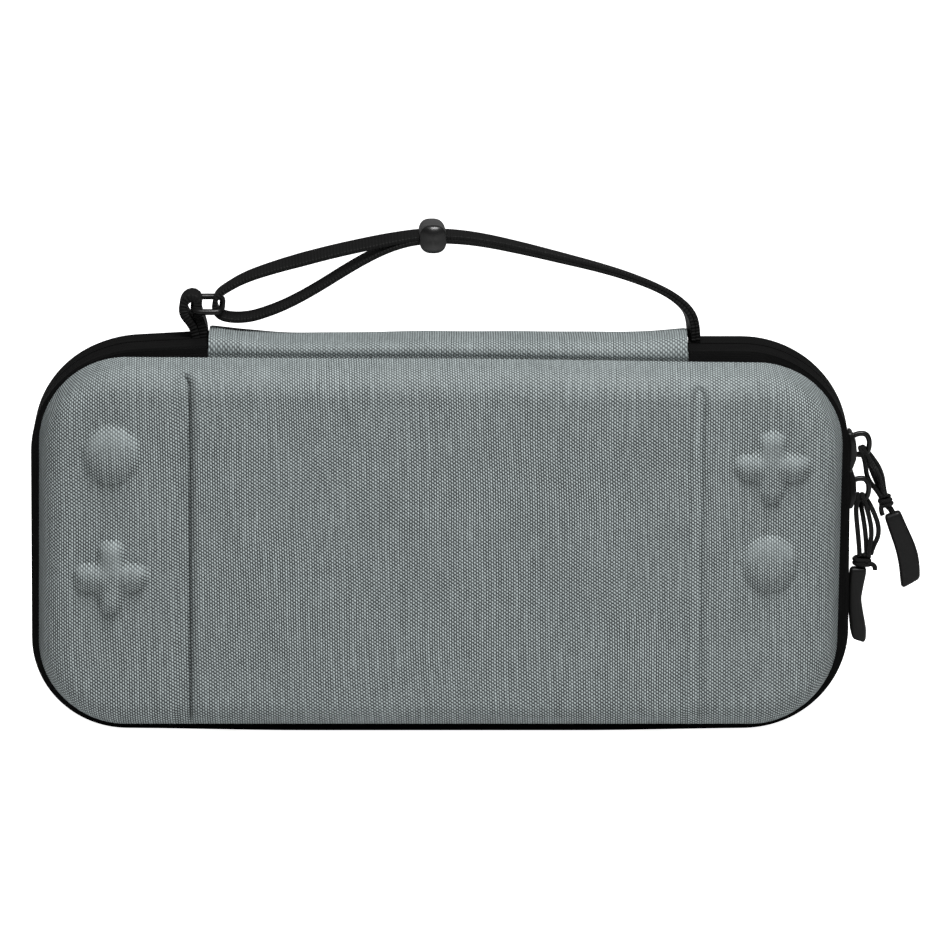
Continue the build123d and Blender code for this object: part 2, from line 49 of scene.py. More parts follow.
# Sizes of the case, in millimetres
CASE_WIDTH = 262.0
CASE_HEIGHT = 126.0
CORNER_RADIUS = 33.0
SEAM_DEPTH = 10.0
TAPE_EDGE = 0.7
TAPE_THICKNESS = 1.0
FLANGE_FALLS = (0.9, 1.5, 3.2)
COIL_WIDTH = 2.4
COIL_THICKNESS = 1.3
RIM_STEP = 2.4
SHELL_DEPTH = 13.0
SHELL_WALL = 3.2
SHELL_DRAFT = radians(15.0)
SHELL_EDGE_RADIUS = 9.0
MID_HEIGHT = CASE_HEIGHT / 2

# Soft corners of the zip band as they have settled, by side and level, and of the shells
BAND_CORNERS = {(-1, -1): 30.5, (1, -1): 33.5, (-1, 1): 33.0, (1, 1): 34.8}
SHELL_CORNER = 30.4

# Raised forms of the front face, as (x, z) and height
DOMES = [((-104.8, 95.0), 3.5), ((105.7, 59.6), 2.9)]
CROSSES = [((-105.0, 55.1), 3.0), ((105.7, 92.1), 2.7)]
DOME_RADIUS = 9.4
CROSS_REACH = 7.8
CROSS_ARM = 4.3
CROSS_FILLET = 2.6

# Pressed channels on the flat cloth: left and right crease, top end, and sideways drift towards the foot
LEFT_GROOVE = (-83.4, -79.8, 60.5, 0.3)
RIGHT_GROOVE = (80.6, 83.9, 57.0, 0.9)
GROOVE_DEPTH = 1.25
GROOVE_SHOULDER = 3.4
GROOVE_FOOT = -61.0
GROOVE_EASE = 6.0
GROOVE_END = 3.0
DRIFT_SPAN = 120.0
CREASE_DEPTH = 0.75
FAINT_CREASE = 0.45
CREASE_WIDTH = 0.4

# Spine, strap and pulls
SPINE_LEFT = -74.0
SPINE_RIGHT = 79.0
STRAP_Y = 5.3
WEB_WIDTH = 9.4
STRAP_THICKNESS = 1.5
TAB_THICKNESS = 2.7
PIVOT_X = 134.4
UPPER_SLIDER_Z = 93.0
LOWER_SLIDER_Z = 77.5
PULL_LAYER = 4.6
UPPER_PULL_HANG = radians(20.0)
CORD_DIAMETER = 1.6
CORD_LENGTH = 20.5
STEM_DIAMETER = 2.0
KNOT_LENGTH = 4.4
POCKET_TOP = 88.0


# Shader sockets and finishes

class Value:
    """A shader socket that arithmetic can be written with."""

    def __init__(self, bench, socket):
        self.bench = bench
        self.socket = socket

    def math(self, operation, *others):
        return self.bench.node("ShaderNodeMath", {"operation": operation}, [self, *others])

    def __add__(self, other):
        return self.math("ADD", other)

    def __mul__(self, other):
        return self.math("MULTIPLY", other)

    def __sub__(self, other):
        return self.math("SUBTRACT", other)

    def __truediv__(self, other):
        return self.math("DIVIDE", other)

    def __rsub__(self, other):
        return self.bench.node("ShaderNodeMath", {"operation": "SUBTRACT"}, [other, self])

    __radd__ = __add__
    __rmul__ = __mul__

    def cosine(self):
        return self.math("COSINE")

    def size(self):
        return self.math("ABSOLUTE")

    def rounded(self):
        return self.math("ROUND")

    def between(self, low, high):
        """0 below low, 1 above high and a soft rise between them."""
        sockets = {"Value": self, "From Min": low, "From Max": high}
        return self.bench.node("ShaderNodeMapRange", {"interpolation_type": "SMOOTHSTEP"}, sockets)


class NodeBench:
    """A node tree, and the one way to add nodes to it."""

    def __init__(self, tree):
        self.tree = tree

    def node(self, kind, settings, sockets, output=0):
        """Adds a node, sets it, fills its sockets by order or name, and returns one of its outputs."""
        made = self.tree.nodes.new(kind)
        for key, value in settings.items():
            setattr(made, key, value)
        pairs = sockets.items() if isinstance(sockets, dict) else enumerate(sockets)
        for key, value in pairs:
            self.feed(made.inputs[key], value)
        return Value(self, made.outputs[output])

    def feed(self, socket, value):
        if isinstance(value, Value):
            self.tree.links.new(value.socket, socket)
        else:
            socket.default_value = value


class Finish(NodeBench):
    """A material on a Principled shader."""

    def __init__(self, name, **sockets):
        self.material = bpy.data.materials.new(name)
        self.material.use_nodes = True
        super().__init__(self.material.node_tree)
        self.shader = self.tree.nodes["Principled BSDF"]
        for label, value in sockets.items():
            self.shader.inputs[label.replace("_", " ")].default_value = value

    def paint(self, label, value):
        self.feed(self.shader.inputs[label], value)

    def coordinates(self, source):
        """x, y and z of the Object or UV coordinates, in millimetres."""
        place = self.node("ShaderNodeTexCoord", {}, [], source)
        return [self.node("ShaderNodeSeparateXYZ", {}, [place], axis) * 1000.0 for axis in "XYZ"]

    def vector(self, *parts):
        return self.node("ShaderNodeCombineXYZ", {}, parts)

    def noise(self, place, scale, detail=2.0, roughness=0.5):
        """Soft noise at a place, given as its three parts."""
        sockets = {"Vector": self.vector(*place), "Scale": scale, "Detail": detail, "Roughness": roughness}
        return self.node("ShaderNodeTexNoise", {}, sockets, "Fac")

    def blend(self, share, first, second):
        """Mixes two colours: inputs 6 and 7 of a Mix node, and its output 2."""
        return self.node("ShaderNodeMix", {"data_type": "RGBA"}, {0: share, 6: first, 7: second}, 2)

    def shades(self, share, shade, dark, light, tint=(1.0, 1.0, 1.0)):
        """Paints the colour, between a dark and a light multiple of a shade."""
        self.paint("Base Color", self.blend(share, grey(shade * dark, tint), grey(shade * light, tint)))

    def bump(self, height, distance, strength=1.0):
        sockets = {"Height": height, "Distance": distance, "Strength": strength}
        self.paint("Normal", self.node("ShaderNodeBump", {}, sockets))


def grey(value, tint=(1.0, 1.0, 1.0)):
    return (value * tint[0], value * tint[1], value * tint[2], 1.0)


# Weave of the covers: sizes of its threads in millimetres, and bolder columns every few threads
THREAD_ACROSS = 0.783
THREAD_ALONG = 0.575
THREAD_SLANT = 0.35
THREAD_WANDER = 2.4
WEAVE_TURN = radians(0.9)
BOLD_PITCH = 4.4
CLOTH_TINT = (0.918, 1.035, 1.045)


def channel_painted_shade(u, v, groove, wall, floor):
    """Painted shade in a pressed channel: darker on its creases and right wall, and lighter along its floor.
    """
    left, right, high, drift = groove
    half = (right - left) / 2 * (1.0 - v.between(high - GROOVE_EASE, high))
    middle = u + (0.5 - v / DRIFT_SPAN) * drift - (left + right) / 2
    beyond = middle - half
    before = middle + half
    sharp = 1.0 - beyond.size().between(0.0, 0.5)
    faint = 1.0 - before.size().between(0.0, 0.4)
    side = beyond.between(-0.3, 0.1) * (1.0 - beyond.between(0.3, GROOVE_SHOULDER))
    strip = before.between(0.0, 0.5) * (1.0 - beyond.between(-0.5, 0.0))
    along = v.between(GROOVE_FOOT, GROOVE_FOOT + GROOVE_EASE) * (1.0 - v.between(high - GROOVE_END, high))
    return (side * wall + sharp * 0.12 + faint * 0.08 - strip * floor) * along


def painted_light_upper_slopes(u, v):
    """Painted light on the upper slopes of the raised forms: the cloth is drawn tight there, and is painted
    lighter with a calmer weave where light from above falls.
    """
    lit_slopes = 0.0
    for (x, z), _ in DOMES:
        side, up = u - x, v - (z - MID_HEIGHT)
        gap = (side * side + up * up).math("SQRT") - DOME_RADIUS
        lit_slopes = (1.0 - gap.between(-1.6, 0.2)) * up.between(-3.0, 5.0) + lit_slopes
    for (x, z), _ in CROSSES:
        side, up = (u - x).size(), v - (z - MID_HEIGHT)
        level = (up.size() - CROSS_ARM).math("MAXIMUM", side - CROSS_REACH - CROSS_ARM)
        upright = (side - CROSS_ARM).math("MAXIMUM", up.size() - CROSS_REACH - CROSS_ARM)
        gap = level.math("MINIMUM", upright)
        lit_slopes = (1.0 - gap.between(-1.6, 0.2)) * up.between(-1.5, 3.0) + lit_slopes
    return lit_slopes


def woven_cloth(name, shade, contrast, moulded=False):
    """Plain-woven polyester: crowns of thread on dark gaps, with bolder columns here and there."""
    finish = Finish(name, Specular_IOR_Level=0.22)
    u, v, _ = finish.coordinates("UV")
    drift = finish.noise((u * 0.02, v * 0.02, 5.0), 1.0, 1.0) - 0.5
    slide = finish.noise((u * 0.024, v * 0.024, 21.0), 1.0, 1.0) - 0.5
    across = (u * cos(WEAVE_TURN) + v * sin(WEAVE_TURN)) / THREAD_ACROSS + drift * THREAD_WANDER
    along = (v * cos(WEAVE_TURN) - u * sin(WEAVE_TURN)) / THREAD_ALONG + slide * THREAD_WANDER
    thread = across.rounded()
    slant = along + (across - thread) * THREAD_SLANT
    crowns = (across * pi).cosine() * (slant * pi).cosine()
    columns = (across * (2 * pi)).cosine()
    relief = crowns + columns * (slide * 0.9 + 0.5)

    # Unevenness of each thread, of the cloth at large and of each crossing
    warp = finish.noise((thread * 7.31, along * 0.06, 0.0), 1.0, 1.0) - 0.5
    patch = finish.noise((u * 0.05, v * 0.05, 9.0), 1.0, 3.0) - 0.5
    cell = finish.vector(thread, slant.rounded(), 0.0)
    flat = {"noise_dimensions": "2D"}
    speck = finish.node("ShaderNodeTexWhiteNoise", flat, {"Vector": cell}, "Value") - 0.5
    uneven = warp * 0.8 + patch * 0.25 + speck * 0.3

    # Bolder columns, with a dark gap beside each
    strong = finish.noise((u * 0.08, v * 0.045, 33.0), 1.0, 1.0).between(0.36, 0.6)
    beat = across / BOLD_PITCH + slide * 1.6
    bold = (beat * (2 * pi)).cosine().between(0.4, 1.0) * strong
    beside = ((beat - 0.5 / BOLD_PITCH) * (2 * pi)).cosine().between(0.55, 1.0) * strong
    gaps = (0.0 - columns).between(0.3, 1.0)

    share = relief / 2.12 - 0.03 + uneven * 0.3 + bold * 0.09 - beside * gaps * 0.17
    calm = contrast - v.between(48.0, 58.0) * 0.28
    channel_shading, level = 1.0, 0.36
    if moulded:
        # Painted light: the upper slopes of the raised forms are painted lighter, with a calmer weave
        lit_slopes = painted_light_upper_slopes(u, v)
        calm = calm - lit_slopes * 0.4
        level = lit_slopes * 0.04 + level
        # Painted shade in the pressed channels: darker creases and right walls, a lighter floor in the right
        # one
        channel_shading = 1.0 - channel_painted_shade(u, v, LEFT_GROOVE, 0.36, 0.0)
        channel_shading = channel_shading - channel_painted_shade(u, v, RIGHT_GROOVE, 0.03, 0.16)
    finish.shades((share * calm + level) * channel_shading - 0.06, shade, 0.22, 3.1, CLOTH_TINT)
    finish.paint("Roughness", 0.68 - relief * 0.08)
    finish.bump(relief + warp * 0.6, 0.00007)
    return finish.material


def brushed_lining(name, shade):
    """Short-napped knitted lining."""
    finish = Finish(name, Specular_IOR_Level=0.15, Sheen_Weight=0.2, Sheen_Roughness=0.45)
    x, y, z = finish.coordinates("Object")
    fine = finish.noise((x, y, z), 3.2, 4.0, 0.65)
    nap = finish.noise((x * 0.5, y, z * 2.0), 0.35, 3.0)
    finish.shades(fine * 0.6 + nap * 0.5, shade, 0.6, 1.5)
    finish.paint("Roughness", 0.82 + fine * 0.16)
    finish.bump(fine, 0.00025)
    return finish.material


def tape_cloth(name, shade, rib):
    """Close-woven black tape with a fine herringbone along it."""
    finish = Finish(name, Specular_IOR_Level=0.06)
    u, v, _ = finish.coordinates("UV")
    fold = (v / (rib * 4.0) - (v / (rib * 4.0)).rounded()).size()
    twill = ((u + fold * rib * 8.0) * (2 * pi / rib)).cosine()
    picks = (v * (2 * pi / (rib * 0.8))).cosine()
    wear = finish.noise((u * 0.08, v * 0.3, 0.0), 1.0, 3.0)
    relief = twill * 0.5 + picks * 0.2
    finish.shades(relief * 0.3 + wear * 0.6 + 0.1, shade, 0.55, 1.7)
    finish.paint("Roughness", 0.78 - wear * 0.15)
    finish.bump(relief, 0.00012)
    return finish.material


def ribbed_webbing(name, shade, rib, half_width):
    """Flat webbing with ribs across it and a firm edge."""
    finish = Finish(name, Specular_IOR_Level=0.12)
    u, v, _ = finish.coordinates("UV")
    ribs = (u * (2 * pi / rib)).cosine()
    ends = (v * (2 * pi / 0.62)).cosine() * (u * (pi / rib)).cosine()
    edge = v.size().between(half_width - 0.9, half_width - 0.3)
    uneven = finish.noise((u * 0.5, v * 1.6, 0.0), 1.0, 3.0)
    relief = ribs * 0.5 + ends * 0.3
    finish.shades(relief * 0.18 + uneven * 0.5 + edge * 0.15 + 0.05, shade, 0.5, 2.2)
    finish.paint("Roughness", 0.66 - uneven * 0.2 + edge * 0.06)
    finish.bump(relief + edge * 0.5, 0.00012)
    return finish.material


def braided_cord(name, shade):
    """Thin braided cord, its strands crossing at a slant."""
    finish = Finish(name, Specular_IOR_Level=0.2)
    x, y, z = finish.coordinates("Object")
    left = ((x * 1.4 + y * 0.8 + z) * (2 * pi / 1.1)).cosine()
    right = ((y * 0.8 - x * 1.4 + z) * (2 * pi / 1.1)).cosine()
    strands = left.math("MAXIMUM", right)
    uneven = finish.noise((x, y, z), 0.9, 2.0)
    finish.shades(strands * 0.3 + uneven * 0.5 + 0.1, shade, 0.5, 2.0)
    finish.paint("Roughness", 0.66 - uneven * 0.18)
    finish.bump(strands, 0.00016)
    return finish.material


def moulded_plastic(name, shade, gloss, grain, shine):
    """Black moulding with faint flow marks, handling marks and grain."""
    finish = Finish(name, Specular_IOR_Level=shine, Coat_Roughness=0.12)
    x, y, z = finish.coordinates("Object")
    fine = finish.noise((x, y, z), grain, 3.0, 0.6)
    cloudy = finish.noise((x, y, z * 0.6), 0.12, 3.0)
    scuffs = finish.noise((x * 0.15, y * 0.15, z * 2.4), 0.9, 4.0).between(0.58, 0.74)
    finish.shades(cloudy * 0.8 + scuffs * 0.2, shade, 0.7, 1.6)
    finish.paint("Roughness", gloss + cloudy * 0.10 + scuffs * 0.12)
    finish.paint("Coat Weight", shine * 0.5 - scuffs * 0.1)
    finish.bump(fine, 0.00003)
    return finish.material


def knitted_net(name, shade):
    """Yarn of the pocket's net, with its knitted loops."""
    finish = Finish(name, Specular_IOR_Level=0.2)
    x, y, z = finish.coordinates("Object")
    loops = (x * (2 * pi / 0.8)).cosine() * (z * (2 * pi / 0.8)).cosine()
    uneven = finish.noise((x, y, z), 0.5, 2.0)
    finish.shades(loops * 0.25 + uneven * 0.5 + 0.1, shade, 0.5, 1.9)
    finish.paint("Roughness", 0.8 - uneven * 0.12)
    finish.bump(loops, 0.00012)
    return finish.material


# Hand tools

def clear_selection():
    if bpy.context.mode != "OBJECT":
        bpy.ops.object.mode_set(mode="OBJECT")
    bpy.ops.object.select_all(action="DESELECT")


def pick(piece):
    clear_selection()
    piece.select_set(True)
    bpy.context.view_layer.objects.active = piece


def open_mesh(kind="VERT"):
    """Opens the picked piece in edit mode, with all of it selected."""
    bpy.ops.object.mode_set(mode="EDIT")
    bpy.ops.mesh.select_mode(type=kind)
    bpy.ops.mesh.select_all(action="SELECT")


def name_piece(name):
    """Names the primitive that was just added."""
    piece = bpy.context.object
    piece.name = name
    piece.data.name = name
    return piece


def settle():
    """Puts the picked piece's place, turn and scale into its mesh."""
    bpy.ops.object.transform_apply(location=True, rotation=True, scale=True)


def work(piece, kind, **settings):
    """Adds a modifier to a piece and applies it."""
    pick(piece)
    modifier = piece.modifiers.new(kind.title(), kind)
    for key, value in settings.items():
        setattr(modifier, key, value)
    bpy.ops.object.modifier_apply(modifier=modifier.name)


def ease_edges(piece, width, segments=2, angle_deg=50.0):
    """Rounds the edges of a piece that turn by more than an angle."""
    limit = radians(angle_deg)
    work(piece, "BEVEL", width=width * MM, segments=segments, limit_method="ANGLE", angle_limit=limit)


def points_of(piece):
    flat = np.zeros(len(piece.data.vertices) * 3)
    piece.data.vertices.foreach_get("co", flat)
    return flat.reshape(-1, 3) / MM


def move_points(piece, points):
    piece.data.vertices.foreach_set("co", (np.asarray(points) * MM).ravel())
    piece.data.update()


def lay_uv(piece, uv):
    """Gives each point its place on the flat cloth, in millimetres."""
    layer = piece.data.uv_layers.active or piece.data.uv_layers.new(name="cloth")
    corners = np.zeros(len(piece.data.loops), dtype=int)
    piece.data.loops.foreach_get("vertex_index", corners)
    layer.data.foreach_set("uv", (np.asarray(uv)[corners] * MM).ravel())


def join(first, *others):
    pick(first)
    for other in others:
        other.select_set(True)
    bpy.ops.object.join()
    return first


def as_mesh(curve):
    pick(curve)
    bpy.ops.object.convert(target="MESH")
    return bpy.context.object


def smooth(piece, angle_deg=40.0):
    pick(piece)
    bpy.ops.object.shade_smooth_by_angle(angle=radians(angle_deg))


def finish_piece(piece, finish, angle_deg=50.0):
    """Gives a piece its finish and smooths its faces."""
    piece.data.materials.append(finish)
    smooth(piece, angle_deg)
    return piece


def grid_piece(name, size_x, size_y, cell_x, cell_y):
    """A flat grid in the XY plane, centred on the origin, in millimetres."""
    clear_selection()
    columns, rows = max(1, round(size_x / cell_x)), max(1, round(size_y / cell_y))
    bpy.ops.mesh.primitive_grid_add(x_subdivisions=columns, y_subdivisions=rows, size=MM)
    piece = name_piece(name)
    bpy.ops.transform.resize(value=(size_x, size_y, 1.0))
    settle()
    return piece


def block_piece(name, size):
    """A block centred on the origin, in millimetres."""
    clear_selection()
    bpy.ops.mesh.primitive_cube_add(size=MM)
    piece = name_piece(name)
    bpy.ops.transform.resize(value=size)
    settle()
    return piece


def spline_curve(name, places, dimensions, kind="NURBS", resolution=24):
    """A curve with those control points, in millimetres."""
    data = bpy.data.curves.new(name, "CURVE")
    data.dimensions = dimensions
    spline = data.splines.new(kind)
    spline.points.add(len(places) - 1)
    for point, place in zip(spline.points, places):
        point.co = (*[float(c) * MM for c in place], 1.0)
    if kind == "NURBS":
        spline.order_u = 3
        spline.use_endpoint_u = True
        spline.resolution_u = resolution
    curve = bpy.data.objects.new(name, data)
    bpy.context.scene.collection.objects.link(curve)
    return curve


def soft_step(share):
    share = np.clip(share, 0.0, 1.0)
    return share * share * (3.0 - 2.0 * share)


def eased(row, reach):
    """Evens out a row of values over their neighbours."""
    width = 2 * reach + 1
    return np.convolve(np.pad(row, reach, mode="edge"), np.ones(width) / width, mode="valid")


# Moulded shells

class MouldForm:
    """The outside or the inside of a moulded shell, unrolled from its rim."""

    def __init__(self, wall):
        self.step = RIM_STEP + wall
        self.half = np.array([CASE_WIDTH / 2, CASE_HEIGHT / 2]) - self.step
        self.depth = SHELL_DEPTH - wall
        self.radius = SHELL_EDGE_RADIUS - wall
        turn = pi / 2 - SHELL_DRAFT
        self.wall_run = self.depth / cos(SHELL_DRAFT) - self.radius * tan(turn / 2)
        self.run = self.wall_run + self.radius * turn
        self.inset = self.wall_run * sin(SHELL_DRAFT) + self.radius * cos(SHELL_DRAFT)
        self.slack = self.run - self.inset
        self.flat = self.half + self.slack
        self.corner = SHELL_CORNER - self.step

    def over_edge(self, run):
        """Plan inset and depth at a run over the surface from the rim."""
        bend = SHELL_DRAFT + np.clip((run - self.wall_run) / self.radius, 0.0, pi / 2 - SHELL_DRAFT)
        straight = np.minimum(run, self.wall_run)
        inset = straight * sin(SHELL_DRAFT) + self.radius * (cos(SHELL_DRAFT) - np.cos(bend))
        depth = straight * cos(SHELL_DRAFT) + self.radius * (np.sin(bend) - sin(SHELL_DRAFT))
        return inset + np.maximum(run - self.run, 0.0), depth

    def place(self, flat):
        """Plan place, depth and cloth place of points on the unrolled form."""
        side = np.where(flat < 0, -1.0, 1.0)
        edge = self.flat - np.abs(flat)
        near = edge.min(axis=1)
        far = edge.max(axis=1)
        inset, depth = self.over_edge(near)
        by_x = edge[:, 0] <= edge[:, 1]
        out = np.stack([by_x, ~by_x], axis=1).astype(float)
        plan = np.where(out > 0, self.half - inset[:, None], np.abs(flat))
        reach = self.corner + self.slack
        rounded = far < reach
        share = (far - near) / np.maximum(reach - near, 1e-9)
        angle = np.where(by_x, pi / 4 * (1 - share), pi / 4 * (1 + share))
        turn = np.stack([np.cos(angle), np.sin(angle)], axis=1)
        arc = self.half - self.corner + (self.corner - inset)[:, None] * turn
        plan = np.where(rounded[:, None], arc, plan)
        out = np.where(rounded[:, None], turn, out)
        spare = np.maximum(self.run - near, 0.0) - np.maximum(self.inset - inset, 0.0)
        return plan * side, depth, (plan + out * spare[:, None]) * side


def capsule(place, first, second):
    """Distance of points from a straight line between two places."""
    first = np.array(first)
    line = np.array(second) - first
    share = np.clip(((place - first) @ line) / (line @ line), 0.0, 1.0)
    return np.linalg.norm(place - first - share[:, None] * line, axis=1)


def puffed(gap, reach, height):
    """Height of a puffed form at a gap from its edge: a firm foot and a rounded top."""
    share = 1.0 - np.clip(gap / reach, 0.0, 1.0)
    return height * (1.0 - share**2.2) ** 0.8


def dome_height(place, centre, height):
    gap = DOME_RADIUS - np.linalg.norm(place - np.array(centre), axis=1)
    return puffed(gap, DOME_RADIUS * 0.62, height * 0.4) + puffed(gap, DOME_RADIUS, height * 0.6)


def cross_height(place, centre, height):
    x, z = centre
    level = capsule(place, (x - CROSS_REACH, z), (x + CROSS_REACH, z))
    upright = capsule(place, (x, z - CROSS_REACH), (x, z + CROSS_REACH))
    share = np.clip(0.5 + 0.5 * (level - upright) / CROSS_FILLET, 0.0, 1.0)
    gap = CROSS_ARM - (level * (1 - share) + upright * share - CROSS_FILLET * share * (1 - share))
    return puffed(gap, CROSS_ARM * 0.95, height)


def groove_depth(cloth, groove, crease):
    """Depth of a pressed channel: a floor between two creases that meet at its top, the right one sharp."""
    left, right, high, drift = groove
    along = cloth[:, 1]
    half = (right - left) / 2 * (1.0 - soft_step((along - high + GROOVE_EASE) / GROOVE_EASE))
    middle = cloth[:, 0] + drift * np.clip(0.5 - along / DRIFT_SPAN, 0.0, 1.0) - (left + right) / 2
    outside = np.maximum(np.abs(middle) - half, 0.0)
    depth = GROOVE_DEPTH * np.clip(1.0 - outside / GROOVE_SHOULDER, 0.0, 1.0) ** 2.2
    depth += crease * np.exp(-(((middle - half) / CREASE_WIDTH) ** 2))
    return depth * soft_step((along - GROOVE_FOOT) / GROOVE_EASE) * soft_step((high - along) / GROOVE_END)


def face_relief(plan, cloth):
    """Height of the front face's raised and sunk forms, along the surface's normal."""
    place = plan + np.array([0.0, MID_HEIGHT])
    height = sum(dome_height(place, centre, top) for centre, top in DOMES)
    height += sum(cross_height(place, centre, top) for centre, top in CROSSES)
    height -= groove_depth(cloth, LEFT_GROOVE, CREASE_DEPTH)
    return height - groove_depth(cloth, RIGHT_GROOVE, CREASE_DEPTH * FAINT_CREASE)


# Where a shell's grid is finer, as (centre, reach, gain)
FINE_COLUMNS = [(-80.0, 3.0, 5.0), (83.2, 3.0, 5.0), (-105.0, 11.0, 0.8), (105.7, 11.0, 0.8)]
FINE_ROWS = [(12.0, 35.0, 0.5)]


def crowd(values, half, fine):
    """Draws a grid's lines closer together near some places."""
    line = np.linspace(-half, half, 4001)
    density = 1.0 + sum(gain * np.exp(-(((line - centre) / reach) ** 2)) for centre, reach, gain in fine)
    run = np.concatenate([[0.0], np.cumsum((density[1:] + density[:-1]) / 2)])
    return np.interp(values, run / run[-1] * 2 * half - half, line)


def settle_lid(points):
    """The front shell leans a little: narrower at its foot on the right, low at its top right."""
    x, z = points[:, 0].copy(), points[:, 2].copy()
    high = soft_step((z - 45.0) / 80.0)
    right = soft_step((x - 55.0) / 75.0)
    left = soft_step((-x - 55.0) / 75.0)
    points[:, 0] += right * (0.0145 * z - 1.55) + left * (0.0145 * z - 0.9)
    points[:, 2] += high * (0.5 * soft_step((-x - 20.0) / 100.0) - 1.4 * soft_step((x + 10.0) / 130.0))
    return points


def shell_skin(name, form, cell, settled, relief=None):
    """One skin of a shell, draped over its form, facing the front."""
    skin = grid_piece(name, 2 * form.flat[0], 2 * form.flat[1], cell, cell)
    flat = points_of(skin)[:, :2]
    if relief:
        flat[:, 0] = crowd(flat[:, 0], form.flat[0], FINE_COLUMNS)
        flat[:, 1] = crowd(flat[:, 1], form.flat[1], FINE_ROWS)
    plan, depth, cloth = form.place(flat)
    base = np.stack([plan[:, 0], -SEAM_DEPTH - depth, plan[:, 1] + MID_HEIGHT], axis=1)
    move_points(skin, base)
    if relief:
        normals = np.zeros(base.size)
        skin.data.vertices.foreach_get("normal", normals)
        base = base + normals.reshape(-1, 3) * relief(plan, cloth)[:, None]
    if settled:
        base = settle_lid(base)
    move_points(skin, base)
    lay_uv(skin, cloth)
    return skin


def shell_cover(name, cloth, lining, cell, settled, relief=None):
    """A shell's woven outside and lined inside, closed along the rim."""
    cover = shell_skin(name, MouldForm(0.0), cell, settled, relief)
    inside = shell_skin(name + "_inside", MouldForm(SHELL_WALL), 4.0, settled)
    pick(inside)
    open_mesh()
    bpy.ops.mesh.flip_normals()
    clear_selection()
    cover.data.materials.append(cloth)
    inside.data.materials.append(lining)
    join(cover, inside)
    open_mesh("EDGE")
    bpy.ops.mesh.select_all(action="DESELECT")
    bpy.ops.mesh.select_non_manifold()
    bpy.ops.mesh.bridge_edge_loops()
    cover.active_material_index = 1
    bpy.ops.object.material_slot_assign()
    clear_selection()
    smooth(cover)
    return cover


def turn_to_back(piece):
    """Turns a piece half round, so that a front shell becomes a back one."""
    move_points(piece, points_of(piece) * np.array([-1.0, -1.0, 1.0]))


# Strips that follow a line in the XZ plane

def path_curve(name, places, kind="NURBS"):
    """A flat curve along places (x, z), lying in the XZ plane."""
    curve = spline_curve(name, [(x, z, 0.0) for x, z in places], "2D", kind)
    curve.data.use_deform_bounds = False
    curve.rotation_euler = (pi / 2, 0.0, 0.0)
    bpy.context.view_layer.update()
    return curve


def path_length(curve):
    mesh = bpy.data.meshes.new_from_object(curve.evaluated_get(bpy.context.evaluated_depsgraph_get()))
    places = np.array([v.co for v in mesh.vertices])
    bpy.data.meshes.remove(mesh)
    return np.linalg.norm(np.diff(places, axis=0), axis=1).sum() / MM


def follow(piece, curve):
    """Bends a straight piece, laid along X, round the curve, which is then put away."""
    work(piece, "CURVE", object=curve, deform_axis="POS_X")
    bpy.data.objects.remove(curve)


def outline_places(inset, start_x, end_x, steps=30):
    """Places along the case's outline from the top edge at start_x, clockwise to the top edge at end_x."""
    places = [(start_x, CASE_HEIGHT - inset)]
    for side, level, first in ((1, 1, 90.0), (1, -1, 0.0), (-1, -1, -90.0), (-1, 1, -180.0)):
        corner = BAND_CORNERS[(side, level)]
        x = side * (CASE_WIDTH / 2 - corner)
        z = MID_HEIGHT + level * (MID_HEIGHT - corner)
        if level < 0 and side < 0:
            places += [(foot, inset) for foot in range(90, -91, -10)]
        for count in range(steps + 1):
            angle = radians(first - 90.0 * count / steps)
            places.append((x + (corner - inset) * cos(angle), z + (corner - inset) * sin(angle)))
    places.append((end_x, CASE_HEIGHT - inset))
    return [ease_outline(x, z) for x, z in places]


def ease_outline(x, z):
    """The band lifts a little towards the ends of its foot and at the spine, and leans at its left end."""
    lift = 0.8 * soft_step((abs(x) - 45.0) / 60.0) * soft_step((40.0 - z) / 20.0)
    at_spine = soft_step((x + 112.0) / 38.0) * soft_step((-50.0 - x) / 15.0)
    lift += 1.9 * at_spine * soft_step((z - 105.0) / 15.0)
    lean = (0.009 * z - 0.6) * soft_step((-x - 55.0) / 70.0)
    return (x + float(lean), z + float(lift))


def webbing_strip(name, places, tilts, thickness, finish):
    """Flat webbing along a line in the XZ plane, turned by tilts, (share of its length, degrees)."""
    curve = path_curve(name + "_line", places)
    length = path_length(curve)
    strip = grid_piece(name, length, WEB_WIDTH, 0.9, 1.2)
    work(strip, "SOLIDIFY", thickness=thickness * MM, offset=0.0)
    ease_edges(strip, 0.3)
    points = points_of(strip)
    points[:, 0] += length / 2
    lay_uv(strip, points[:, :2])
    turn = np.radians(np.interp(points[:, 0] / length, *zip(*tilts)))
    y = points[:, 1] * np.cos(turn) - points[:, 2] * np.sin(turn)
    z = points[:, 1] * np.sin(turn) + points[:, 2] * np.cos(turn)
    move_points(strip, np.stack([points[:, 0], y + STRAP_Y, z], axis=1))
    follow(strip, curve)
    return finish_piece(strip, finish)


